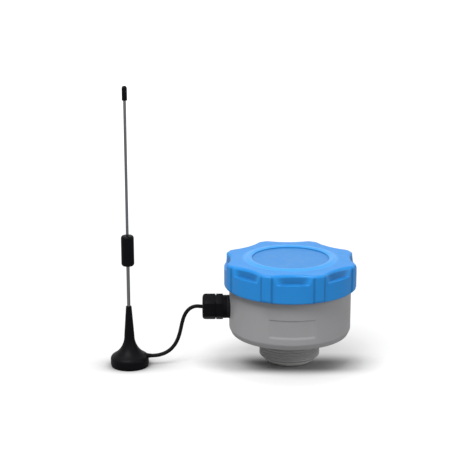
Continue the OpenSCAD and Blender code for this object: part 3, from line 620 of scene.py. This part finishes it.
class Form(Graph):
    """A geometry node tree with named inputs."""

    def __init__(self, name):
        super().__init__(bpy.data.node_groups.new(name, "GeometryNodeTree"))
        sockets = self.tree.interface
        sockets.new_socket("Geometry", in_out="INPUT", socket_type="NodeSocketGeometry")
        sockets.new_socket("Geometry", in_out="OUTPUT", socket_type="NodeSocketGeometry")
        self.entry = self.tree.nodes.new("NodeGroupInput")
        self.leave = self.tree.nodes.new("NodeGroupOutput")

    def size(self, name, kind="NodeSocketFloat"):
        """Adds a named input and returns it."""
        self.tree.interface.new_socket(name, in_out="INPUT", socket_type=kind)
        return Value(self, self.entry.outputs[name])

    def sizes(self, *names):
        """Adds named inputs and returns them."""
        return [self.size(name) for name in names]

    def geometry(self):
        return Value(self, self.entry.outputs["Geometry"])

    def stored(self, name, kind):
        """A value that the mesh holds for each point."""
        return self.add("GeometryNodeInputNamedAttribute", {"Name": name}, data_type=kind)[0]

    def finish(self, geometry, material):
        """Ends the tree in Realize Instances and Set Material."""
        real = self.add("GeometryNodeRealizeInstances", {0: geometry})[0]
        values = {"Geometry": real, "Material": material}
        done = self.add("GeometryNodeSetMaterial", values)[0]
        self.feed(self.leave.inputs[0], done)

    def apply(self, piece, slot, **sizes):
        """Runs the tree on a piece and keeps the plain mesh, in the finish of a slot."""
        sizes["finish"] = FINISHES[slot]
        modifier = piece.modifiers.new(self.tree.name, "NODES")
        modifier.node_group = self.tree
        for item in self.tree.interface.items_tree:
            key = item.name.lower().replace(" ", "_")
            if key in sizes:
                modifier[item.identifier] = sizes[key]
        settle(piece)
        smooth(piece)


def polar(form):
    """The x, y, z, angle and radius of each point."""
    x, y, z = form.split(form.add("GeometryNodeInputPosition")[0])
    return x, y, z, y.run("ARCTAN2", x), (x * x + y * y).root()


def moved_form(form, x, y, z):
    """Ends a tree that moves the points to new coordinates."""
    values = {"Geometry": form.geometry(), "Position": form.join(x, y, z)}
    moved = form.add("GeometryNodeSetPosition", values)[0]
    form.finish(moved, form.size("Finish", kind="NodeSocketMaterial"))
    return form


def thread_form():
    """Cuts a right-hand thread into the cylinder at one radius, fading out at both ends."""
    form = Form("screw_thread")
    at, depth, pitch, low, high = form.sizes("Radius", "Depth", "Pitch", "Low", "High")
    x, y, z, angle, radius = polar(form)
    phase = ((z / pitch) - angle / FULL_TURN).fraction()
    wave = (phase - 0.5).size() * 2
    groove = ((wave - CREST_SHARE) / (1 - 2 * CREST_SHARE)).at_least(0.0).at_most(1.0)
    ends = z.fade(low, low + pitch * 0.8) * (1 - z.fade(high - pitch * 0.8, high))
    here = (radius - at).size().below(0.02 * MM)
    gain = 1 - groove * ends * here * depth / at
    return moved_form(form, x * gain, y * gain, z)


def cap_form():
    """Draws the turned cap out into grip lobes and scoops the scallops between them."""
    form = Form("cap_lobes")
    lobes, lobe_half, proud, rim, top = form.sizes(
        "Lobes", "Lobe Half", "Lobe Height", "Rim", "Top")
    scoop, centre, taper, rise = form.sizes(
        "Scoop Radius", "Scoop Centre", "Scoop Taper", "Scallop Height")
    drum, anchor = form.sizes("Drum Radius", "Anchor Radius")
    x, y, z, angle, radius = polar(form)
    pitch = FULL_TURN / lobes
    from_lobe = (((angle + FULL_TURN / 4) / pitch).fraction() - 0.5).size() * pitch
    from_scallop = pitch * 0.5 - from_lobe
    lobe = (1 - from_lobe.fade(lobe_half * 0.85, lobe_half * 1.2)) * z.fade(rim, rim + 2 * MM)
    full = drum + proud * lobe
    reach = scoop - taper * (top - z) / rise
    across = centre * from_scallop.run("SINE")
    limit = centre * from_scallop.run("COSINE") - (reach * reach - across * across).root()
    ledge = top - rise
    cut = full - full.run("SMOOTH_MIN", limit, 0.6 * MM)
    skin = full - cut * z.fade(ledge - LEDGE_HALF, ledge + LEDGE_HALF)
    share = ((radius - anchor) / (drum - anchor)).at_least(0.0)
    outer = form.stored("outer", "FLOAT")
    stretch = (anchor + share * (skin - anchor)) / radius.at_least(1 * MM) - 1
    gain = stretch * outer * share.above(0.0) + 1
    return moved_form(form, x * gain, y * gain, z)


def scatter_form():
    """Sets one object on each point, with the point's own turn and size."""
    form = Form("set_on_points")
    thing = form.size("Thing", kind="NodeSocketObject")
    finish = form.size("Finish", kind="NodeSocketMaterial")
    info = form.add("GeometryNodeObjectInfo", {"Object": thing})
    values = {"Points": form.geometry(), "Instance": info[-1],
              "Rotation": form.stored("turn", "FLOAT_VECTOR"),
              "Scale": form.stored("grow", "FLOAT_VECTOR")}
    form.finish(form.add("GeometryNodeInstanceOnPoints", values)[0], finish)
    return form


FORMS = {}


# ---------------- pieces


def make_stage(scene):
    """Camera, floor, even light, key lamp and fill lamp."""
    sizes = scene.tx_stage
    camera = link("camera", bpy.data.cameras.new("camera"))
    camera.location = sizes.camera_place
    camera.rotation_euler = (math.pi / 2 - sizes.camera_pitch, 0, 0)
    camera.data.lens = sizes.focal_length
    camera.data.sensor_width = 36
    camera.data.clip_end = 20
    scene.camera = camera
    scene.view_settings.view_transform = "Standard"

    bpy.ops.mesh.primitive_plane_add(size=12)
    floor = bpy.context.active_object
    floor.name = "floor"
    paper = Finish("pale_floor", FLOOR_PALE, 0.9, shine=0.1)
    rays = paper.add("ShaderNodeLightPath")
    seen, glossy = rays[0], rays[3]
    paper.give("Base Color", paper.blend(seen, rgba(FLOOR_PALE), rgba(FLOOR_SEEN)))
    x, y, _ = paper.split(paper.place)
    # Painted shadow: the floor's glow is weaker near the object, and dimmed by occlusion, most in a
    # band across the stub
    away = (x * x + y * y).root().fade(0.2, 0.8)
    band = y.fade(*SHADOW_FRONT) * (1 - y.fade(*SHADOW_BACK)) * 0.72 + 0.28
    shade = (1 - paper.near_to(SHADOW_REACH, samples=16).run("POWER", 3.0)) * band
    glow = (1 - shade) * (away * 0.35 + 0.75)
    paper.give("Emission Color", paper.join(glow, glow, glow))
    paper.give("Emission Strength", seen + glossy * 0.15)
    floor.data.materials.append(paper.material)

    world = bpy.data.worlds.new("even_light")
    world.use_nodes = True
    scene.world = world
    air = Graph(world.node_tree)
    back = world.node_tree.nodes["Background"]
    # Camera, glossy and transmission rays meet plain white
    rays = air.add("ShaderNodeLightPath")
    seen = rays[0].at_least(rays[3]).at_least(rays[6])
    back.inputs["Color"].default_value = (1, 1, 1, 1)
    air.feed(back.inputs["Strength"], seen * (1 - sizes.sky) + sizes.sky)

    for (name, place, width), power in zip(LAMPS, (sizes.key_power, sizes.fill_power)):
        lamp = bpy.data.lights.new(name, "AREA")
        lamp.energy = power
        lamp.size = width
        holder = link(name, lamp)
        holder.location = place
        aim = LAMP_AIM - Vector(place)
        holder.rotation_euler = aim.to_track_quat("-Z", "Y").to_euler()


# Route of the antenna cable from the gland's seal into the foot, in millimetres
CABLE_ROUTE = (
    (-62, 0, 44), (-66, 0, 44), (-70, 0, 44), (-74, -0.3, 44.3), (-77.8, -0.8, 43.4),
    (-81, -1.6, 41), (-83.4, -2.6, 37.4), (-85, -3.8, 33), (-86.2, -5.2, 28),
    (-87.5, -6.8, 23), (-89.5, -8.4, 18), (-92.6, -10, 13.6), (-97, -11.6, 10.2),
    (-102, -12.9, 8.4), (-107, -13.7, 7.8), (-112, -14, 7.8), (-117, -14, 7.8),
    (-122.8, -14, 7.8),
)


def make_cable(scene):
    """The coaxial cable, a curve through its route."""
    sizes = scene.tx_antenna
    curve = bpy.data.curves.new("antenna_lead", "CURVE")
    curve.dimensions = "3D"
    curve.bevel_depth = sizes.cable_radius
    curve.bevel_resolution = 5
    curve.resolution_u = 8
    curve.use_fill_caps = True
    line = curve.splines.new("BEZIER")
    line.bezier_points.add(len(CABLE_ROUTE) - 1)
    for point, place in zip(line.bezier_points, CABLE_ROUTE):
        point.co = [part * MM for part in place]
        point.handle_left_type = point.handle_right_type = "AUTO"
    cable = link("antenna_lead", curve)
    stand_for(cable, "antenna_cable")


def make_cap(scene):
    """The screw cap: turned, then pressed into lobes and scallops, with its thread."""
    sizes = scene.tx_cap
    low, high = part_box("cap")
    rim = low[2]
    top = high[2] - sizes.ring_height
    drum = sizes.drum_radius
    bore = sizes.bore_radius
    core = bore + sizes.wall
    skirt = drum - sizes.skirt
    neck_bore = scene.tx_housing.neck_bore
    relief = rim + sizes.relief
    plate = top - sizes.plate
    seat = plate + 0.4 * MM
    sunk = top - sizes.field_depth
    ring = sizes.ring_radius
    ledge = top - sizes.scallop_height
    bead = [(ring + sizes.ring_reach * side,
             top + sizes.ring_height * math.cos(side * math.pi / 2) ** 1.6, 0)
            for side in (1 - step / 9 for step in range(17))]
    outline = rounded([
        (0, plate, 0), (neck_bore, plate, 0), (neck_bore, seat, 0), (bore, seat, 0.2),
        (bore, rim, 0.5), (core, rim, 0.4), (core, relief, 0.8),
        (skirt, relief - (skirt - core), 0.8), (skirt, rim, 0.4), (drum, rim, 1.3),
        *[(drum, ledge + LEDGE_HALF * (step / 4.5 - 1), 0) for step in range(10)],
        (drum, top, 2.2), *bead, (sizes.field_radius, sunk, 0.2), (0, sunk, 0),
    ])
    fine = refined(outline, 3 * MM, at_radius(bore, 0.42 * MM), (skirt, 2 * drum, 0.7 * MM))
    cap = turned("screw_cap", fine, 60 * sizes.lobes)
    anchor = ring + sizes.ring_reach + 0.6 * MM
    mask = cap.data.attributes.new("outer", "FLOAT", "POINT")
    for index, vertex in enumerate(cap.data.vertices):
        r = math.hypot(vertex.co.x, vertex.co.y)
        upper = vertex.co.z > top - 0.6 * MM and r > anchor
        mask.data[index].value = 1.0 if upper or r > skirt + 0.5 * MM else 0.0
    lobe = drum + sizes.lobe_proud
    lobe_half = math.asin(sizes.lobe_width / 2 / lobe)
    mouth = math.pi / sizes.lobes - lobe_half
    wall = drum - sizes.scallop_depth
    sag = lobe * math.cos(mouth) - wall
    scoop = ((lobe * math.sin(mouth)) ** 2 + sag ** 2) / (2 * sag)
    FORMS["cap"].apply(
        cap, "cap_blue", lobes=float(sizes.lobes), lobe_half=lobe_half,
        lobe_height=sizes.lobe_proud, scoop_radius=scoop, scoop_centre=wall + scoop,
        scoop_taper=sizes.scallop_taper, scallop_height=sizes.scallop_height, drum_radius=drum,
        anchor_radius=anchor, rim=rim, top=top)
    FORMS["thread"].apply(
        cap, "cap_blue", radius=bore, depth=-sizes.thread_depth, pitch=sizes.thread_pitch,
        low=rim + 0.5 * MM, high=plate)
    stand_for(cap, "cap")

    low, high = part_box("cap_gasket")
    wide = high[0] - 0.02 * MM
    narrow = neck_bore + 0.4 * MM
    stand_turned("cap_gasket_ring", "cap_gasket", [
        (narrow, low[2], 0.5), (wide, low[2], 0.5),
        (wide, high[2], 0.5), (narrow, high[2], 0.5)], 192)


def field_form():
    """Sinks the label field and the gland's flat into the housing's wall."""
    form = Form("wall_fields")
    half_wide, half_high, middle, depth, wall = form.sizes(
        "Half Width", "Half Height", "Middle", "Depth", "Wall Radius")
    flat, flat_height, flat_radius = form.sizes("Flat Place", "Flat Height", "Flat Radius")
    edge = 0.35 * MM
    x, y, z, _, radius = polar(form)
    outside = (radius - wall).size().below(0.05 * MM)
    across = 1 - x.size().fade(half_wide - edge, half_wide + edge)
    along = 1 - (z - middle).size().fade(half_high - edge, half_high + edge)
    sunk = across * along * y.below(0.0) * outside * depth
    gain = 1 - sunk / wall
    away = (y * y + (z - flat_height) * (z - flat_height)).root()
    near = (1 - away.fade(flat_radius - edge, flat_radius + edge)) * x.below(0.0) * outside
    flat_x = (x * gain) + (flat - x).at_least(0.0) * near
    return moved_form(form, flat_x, y * gain, z)


def make_housing(scene):
    """The housing's bowl and threaded neck, its board bosses and its flat for the locknut."""
    sizes = scene.tx_housing
    low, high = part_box("housing")
    under, top = low[2], high[2]
    wall = sizes.radius
    neck = sizes.neck_radius
    bore = sizes.neck_bore
    cavity = sizes.cavity_radius
    spigot = sizes.spigot_radius
    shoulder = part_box("cap")[0][2] - 0.3 * MM
    eaves = shoulder - 1 * MM
    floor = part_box("process_stub")[1][2]
    outline = rounded([
        (spigot, under, 0), (wall - sizes.bevel_width, under, 1.2),
        (wall, under + sizes.bevel_height, 0.8), (wall, shoulder, 0.6), (neck, shoulder, 0.4),
        (neck, top - 1 * MM, 0.3), (neck - 1 * MM, top, 0.3), (bore, top, 0.6),
        (bore, eaves, 1.5), (cavity, eaves - (cavity - bore), 1.5), (cavity, floor, 2),
        (spigot, floor, 0),
    ])
    fine = refined(outline, 4 * MM, at_radius(neck, 0.42 * MM), at_radius(wall, 0.7 * MM))
    housing = turned("housing_shell", fine, 400)
    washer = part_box("gland_washer")
    FORMS["fields"].apply(
        housing, "housing_grey", half_width=sizes.label_width / 2,
        half_height=sizes.label_height / 2, middle=under + sizes.label_rise,
        depth=sizes.label_depth, wall_radius=wall, flat_place=washer[1][0],
        flat_height=(washer[0][2] + washer[1][2]) / 2,
        flat_radius=(washer[1][2] - washer[0][2]) / 2 + 0.4 * MM)
    FORMS["thread"].apply(
        housing, "housing_grey", radius=neck, depth=sizes.neck_depth,
        pitch=scene.tx_cap.thread_pitch, low=shoulder + 1.5 * MM, high=top - 0.6 * MM)

    parts = [housing]
    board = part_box("main_board")[0][2]
    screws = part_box("board_screws")
    middle = (screws[0][1] + screws[1][1]) / 2
    foot, hole = sizes.boss_radius, sizes.boss_bore
    for degrees in (60, 120, 240, 300):
        angle = math.radians(degrees)
        place = (sizes.boss_circle * math.cos(angle),
                 sizes.boss_circle * math.sin(angle) + middle, 0)
        parts.append(turned("board_boss", rounded([
            (hole, floor - 1 * MM, 0), (foot + 1 * MM, floor - 1 * MM, 0),
            (foot, floor + 1.2 * MM, 0.8), (foot - 0.1 * MM, board, 0.4),
            (hole, board, 0.2)]), 48, place))
    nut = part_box("gland_locknut")
    parts.append(block("locknut_flat", (-(wall - 2.5 * MM), -12 * MM, floor - 1 * MM),
                       (nut[0][0], 12 * MM, shoulder - 7 * MM), 0.5 * MM))
    stand_for(joined("housing_shell", parts), "housing")


def block(name, low, high, edge):
    """A box between two corners with rounded edges."""
    corners = list(itertools.product(*zip(low, high)))
    faces = [(0, 1, 3, 2), (4, 6, 7, 5), (0, 4, 5, 1), (2, 3, 7, 6), (0, 2, 6, 4), (1, 5, 7, 3)]
    mesh = bpy.data.meshes.new(name)
    mesh.from_pydata(corners, [], faces)
    face_outwards(mesh)
    piece = link(name, mesh)
    round_edges(piece, edge)
    smooth(piece)
    return piece


def make_stub(scene):
    """The stub with its process thread and collar, and the radar lens in it."""
    sizes = scene.tx_housing
    low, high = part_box("process_stub")
    bottom, top = low[2], high[2]
    crest = sizes.stub_radius
    spigot = sizes.spigot_radius
    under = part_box("housing")[0][2]
    seat = bottom + sizes.seat_depth
    bevel = 1.2 * MM
    outline = rounded([
        (sizes.stub_seat, bottom, 0.1), (crest - bevel, bottom, 0.4),
        (crest, bottom + bevel, 0.4), (crest, under - 2.5 * MM, 1.0), (high[0], under, 0.4),
        (spigot, under, 0), (spigot, top, 0), (sizes.stub_bore, top, 0),
        (sizes.stub_bore, seat, 0), (sizes.stub_seat, seat, 0),
    ])
    stub = turned("threaded_stub", refined(outline, 4 * MM, at_radius(crest, 0.2 * MM)), 300)
    FORMS["thread"].apply(
        stub, "stub_grey", radius=crest, depth=sizes.stub_depth, pitch=sizes.stub_pitch,
        low=bottom + bevel, high=under - 3 * MM)
    stand_for(stub, "process_stub")

    rim, _, crown_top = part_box("lens")[1]
    edge = sizes.stub_seat - 0.2 * MM
    dome = 15.5 * MM
    rise = crown_top - seat
    ball = (dome * dome + rise * rise) / (2 * rise)
    reach = math.asin(dome / ball)
    tilts = [reach * (1 - step / 16) for step in range(17)]
    crown = [(ball * math.sin(tilt), crown_top - ball * (1 - math.cos(tilt)), 0)
             for tilt in tilts]
    stand_turned("radar_lens", "lens", [
        (0, 0, 0), (rim - 3 * MM, 0, 2.6), (rim, 3 * MM, 2.6),
        (rim, bottom, 0.3), (edge, bottom, 0), (edge, seat, 0.2), *crown], 144)


def make_gland(scene):
    """The cable gland's parts with their edges rounded, and the stop ring behind the nut."""
    for node, edge in (("gland_washer", 0.5), ("gland_body", 0.3), ("gland_locknut", 0.4),
                       ("gland_nut", 0.45), ("gland_seal", 0.3)):
        stand_for(softened(node, edge * MM, segments=3), node)
    low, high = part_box("gland_nut")
    inner, outer = 7.3 * MM, 9 * MM
    back, front = -0.3 * MM, 0.45 * MM
    ring = turned("gland_ring", rounded([
        (inner, back, 0), (outer, back, 0.06), (outer, front, 0.12),
        (inner, front, 0)]), 96, (high[0] + 0.48 * MM, 0, (low[2] + high[2]) / 2), -1)
    dress(ring, "black_rubber")
    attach(ring, BODIES["gland_body"])


def upright(node):
    """Radius, bottom and top of an upright node."""
    low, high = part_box(node)
    return (high[0] - low[0]) / 2, low[2], high[2]


def make_antenna(scene):
    """The antenna's foot, rods, sleeve, tip and boot."""
    sizes = scene.tx_antenna
    low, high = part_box("antenna_foot")
    centre = ((low[0] + high[0]) / 2, (low[1] + high[1]) / 2, 0)
    foot, bottom, top = upright("antenna_foot")
    flare = sizes.flare_radius
    edge = sizes.edge_height
    base = edge + 1.6 * MM
    curve = []
    for step in range(29):
        fall = (sizes.waist_height - base) * (1 - step / 28)
        r = sizes.waist_radius + flare - math.sqrt(flare ** 2 - fall ** 2)
        curve.append((min(r, foot - 1 * MM), sizes.waist_height - fall, 0))
    stand_turned("antenna_base", "antenna_foot", [
        (0, bottom, 0), (foot - 0.8 * MM, bottom, 0.3), (foot, bottom + 0.8 * MM, 0.4),
        (foot, edge, 0.5), (foot - 0.5 * MM, edge + 1 * MM, 0.8), *curve,
        (sizes.cone_radius, top, 0.5), (0, top, 0)], 144, centre)

    radius, bottom, top = upright("coil_sleeve")
    slim, slope = radius - 0.9 * MM, 1.2 * MM
    stand_turned("coil_cover", "coil_sleeve", [
        (0, bottom, 0), (slim, bottom, 0.3), (radius, bottom + slope, 0.8),
        (radius, top - slope, 0.8), (slim, top, 0.3), (0, top, 0)], 64, centre)

    radius, bottom, top = upright("tip_cap")
    stand_turned("whip_tip", "tip_cap", [
        (0, bottom, 0), (radius, bottom, 0.4), (radius, top - 1.2 * MM, 0.6),
        (radius * 0.6, top, 0.6), (0, top, 0)], 48, centre)

    for node, name in (("whip_lower", "lower_rod"), ("whip_upper", "upper_rod")):
        radius, bottom, top = upright(node)
        stand_turned(name, node, [
            (0, bottom, 0), (radius, bottom, 0.2), (radius, top, 0.2), (0, top, 0)], 40, centre)

    low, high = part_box("cable_boot")
    radius = (high[2] - low[2]) / 2
    long = high[0] - low[0]
    bore = 1.45 * MM
    ribs = []
    for rib in range(3):
        start = long - 4.5 * MM + rib * 1.4 * MM
        slim = radius - (0.35 + 0.25 * rib) * MM
        ribs += [(slim, start, 0.2), (slim, start + 0.9 * MM, 0.2),
                 (slim - 0.4 * MM, start + 1.0 * MM, 0), (slim - 0.4 * MM, start + 1.3 * MM, 0)]
    stand_turned("lead_boot", "cable_boot", [
        (bore, 0, 0), (radius, 0, 0), (radius, long - 5 * MM, 0.3), *ribs,
        (1.9 * MM, long, 0.2), (bore, long, 0)],
        48, (low[0], centre[1], (low[2] + high[2]) / 2), 1)


def points_piece(name, rows):
    """Loose points, from rows with the place, turn and size of what stands on each."""
    mesh = bpy.data.meshes.new(name)
    mesh.from_pydata([place for place, _, _ in rows], [], [])
    for column, key in ((1, "turn"), (2, "grow")):
        layer = mesh.attributes.new(key, "FLOAT_VECTOR", "POINT")
        for index, row in enumerate(rows):
            layer.data[index].vector = row[column]
    return link(name, mesh)


def make_board_parts(scene):
    """Chips on the main board's free crescents, set by geometry nodes."""
    edge, _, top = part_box("main_board")[1]
    taken = [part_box(node) for node in (
        "terminal_block", "buffer_capacitor", "coax_socket", "coax_plug")]
    screw = scene.tx_housing.boss_circle
    screw_x, screw_y = screw * math.cos(math.pi / 3), screw * math.sin(math.pi / 3)
    spare = 2 * MM
    rows = []
    for row in range(-13, 14):
        for column in range(-13, 14):
            x, y = column * 2.7 * MM, row * 2.5 * MM
            covered = any(low[0] - spare <= x <= high[0] + spare
                          and low[1] - spare <= y <= high[1] + spare for low, high in taken)
            by_screw = math.hypot(abs(x) - screw_x, abs(y) - screw_y) < 5 * MM
            under_cell = abs(x) < 21.5 * MM
            outside = math.hypot(x, y) > edge - 2.4 * MM
            # A fixed pattern that looks uneven: it leaves out one place in three
            mark = (row * 37 + column * 57 + row * column * 11) % 29
            if covered or by_screw or under_cell or outside or mark % 3 == 0:
                continue
            wide = 1.0 + 0.45 * (mark % 4 == 1)
            rows.append(((x, y, top), (0, 0, math.pi / 2 * (mark % 2)),
                         (wide, wide, 0.8 + 0.1 * (mark % 5))))
    for name, low, high, slot in (
            ("chip_bodies", (-0.6, -0.42, 0.0), (0.6, 0.42, 0.55), "component_black"),
            ("chip_ends", (-0.85, -0.40, 0.0), (0.85, 0.40, 0.5), "shield_tin")):
        base = block(name + "_base", [v * MM for v in low], [v * MM for v in high], 0.06 * MM)
        chips = points_piece(name, rows)
        FORMS["points"].apply(chips, slot, thing=base)
        bpy.data.objects.remove(base)
        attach(chips, BODIES["main_board"])


def make_fittings(scene):
    """The battery's holder, the board's larger parts and the screws, with their edges rounded."""
    for node, edge in (("battery_cradle", 0.4), ("battery_contacts", 0.12), ("battery_strap", 0.3),
                       ("terminal_block", 0.3), ("modem_module", 0.25), ("card_holder", 0.15),
                       ("board_screws", 0.15), ("radar_screws", 0.12), ("coax_plug", 0.25)):
        stand_for(softened(node, edge * MM), node)


def make_shared(scene):
    """The materials and node trees that the pieces share, and the finish of every node."""
    FINISHES.update(make_finishes(scene))
    FORMS.update(thread=thread_form(), cap=cap_form(), fields=field_form(), points=scatter_form())
    for node, piece in frame["nodes"].items():
        dress(piece, SLOTS[node])


# ---------------- operators


class Step:
    """What every step of the build has."""

    bl_options = {"REGISTER", "UNDO"}


class TRANSMITTER_OT_stage(Step, bpy.types.Operator):
    """Makes the camera, the floor and the lamps"""

    bl_idname = "transmitter.stage"
    bl_label = "Stage"

    def execute(self, context):
        make_stage(context.scene)
        return {"FINISHED"}


class TRANSMITTER_OT_finishes(Step, bpy.types.Operator):
    """Makes the materials of every node"""

    bl_idname = "transmitter.finishes"
    bl_label = "Finishes"

    def execute(self, context):
        make_shared(context.scene)
        return {"FINISHED"}


class TRANSMITTER_OT_cable(Step, bpy.types.Operator):
    """Makes the coaxial cable from gland to foot"""

    bl_idname = "transmitter.cable"
    bl_label = "Antenna cable"

    def execute(self, context):
        make_cable(context.scene)
        return {"FINISHED"}


class TRANSMITTER_OT_cap(Step, bpy.types.Operator):
    """Makes the lobed cap with its thread and gasket"""

    bl_idname = "transmitter.cap"
    bl_label = "Screw cap"

    def execute(self, context):
        make_cap(context.scene)
        return {"FINISHED"}


class TRANSMITTER_OT_housing(Step, bpy.types.Operator):
    """Makes the bowl, neck, thread and bosses"""

    bl_idname = "transmitter.housing"
    bl_label = "Housing"

    def execute(self, context):
        make_housing(context.scene)
        return {"FINISHED"}


class TRANSMITTER_OT_stub(Step, bpy.types.Operator):
    """Makes the process thread, collar and lens"""

    bl_idname = "transmitter.stub"
    bl_label = "Stub and lens"

    def execute(self, context):
        make_stub(context.scene)
        return {"FINISHED"}


class TRANSMITTER_OT_gland(Step, bpy.types.Operator):
    """Makes the nut, body, washer, seal and locknut"""

    bl_idname = "transmitter.gland"
    bl_label = "Cable gland"

    def execute(self, context):
        make_gland(context.scene)
        return {"FINISHED"}


class TRANSMITTER_OT_antenna(Step, bpy.types.Operator):
    """Makes the foot, rods, sleeve, tip and boot"""

    bl_idname = "transmitter.antenna"
    bl_label = "Antenna"

    def execute(self, context):
        make_antenna(context.scene)
        return {"FINISHED"}


class TRANSMITTER_OT_board(Step, bpy.types.Operator):
    """Makes the chips on the main board"""

    bl_idname = "transmitter.board"
    bl_label = "Board parts"

    def execute(self, context):
        make_board_parts(context.scene)
        return {"FINISHED"}


class TRANSMITTER_OT_battery(Step, bpy.types.Operator):
    """Makes the cradle, contacts, strap and screws"""

    bl_idname = "transmitter.battery"
    bl_label = "Battery holder"

    def execute(self, context):
        make_fittings(context.scene)
        return {"FINISHED"}


OPERATORS = (
    TRANSMITTER_OT_stage,
    TRANSMITTER_OT_finishes,
    TRANSMITTER_OT_cable,
    TRANSMITTER_OT_cap,
    TRANSMITTER_OT_housing,
    TRANSMITTER_OT_stub,
    TRANSMITTER_OT_gland,
    TRANSMITTER_OT_antenna,
    TRANSMITTER_OT_board,
    TRANSMITTER_OT_battery,
)


class TRANSMITTER_PT_build(bpy.types.Panel):
    """Lists the sizes and the steps."""

    bl_label = "Radar level transmitter"
    bl_idname = "TRANSMITTER_PT_build"
    bl_space_type = "VIEW_3D"
    bl_region_type = "UI"
    bl_category = "Transmitter"

    def draw(self, context):
        for name, group in GROUPS.items():
            box = self.layout.box()
            box.label(text=group.__doc__)
            for key in group.__annotations__:
                box.prop(getattr(context.scene, name), key)
        for step in OPERATORS:
            self.layout.operator(step.bl_idname)


def register():
    for group in GROUPS.values():
        bpy.utils.register_class(group)
    for name, group in GROUPS.items():
        setattr(bpy.types.Scene, name, PointerProperty(type=group))
    for step in OPERATORS:
        bpy.utils.register_class(step)
    bpy.utils.register_class(TRANSMITTER_PT_build)


def unregister():
    bpy.utils.unregister_class(TRANSMITTER_PT_build)
    for step in reversed(OPERATORS):
        bpy.utils.unregister_class(step)
    for name in GROUPS:
        delattr(bpy.types.Scene, name)
    for group in GROUPS.values():
        bpy.utils.unregister_class(group)


def main():
    register()
    for step in OPERATORS:
        getattr(bpy.ops.transmitter, step.bl_idname.split(".")[1])()


if __name__ == "__main__":
    main()
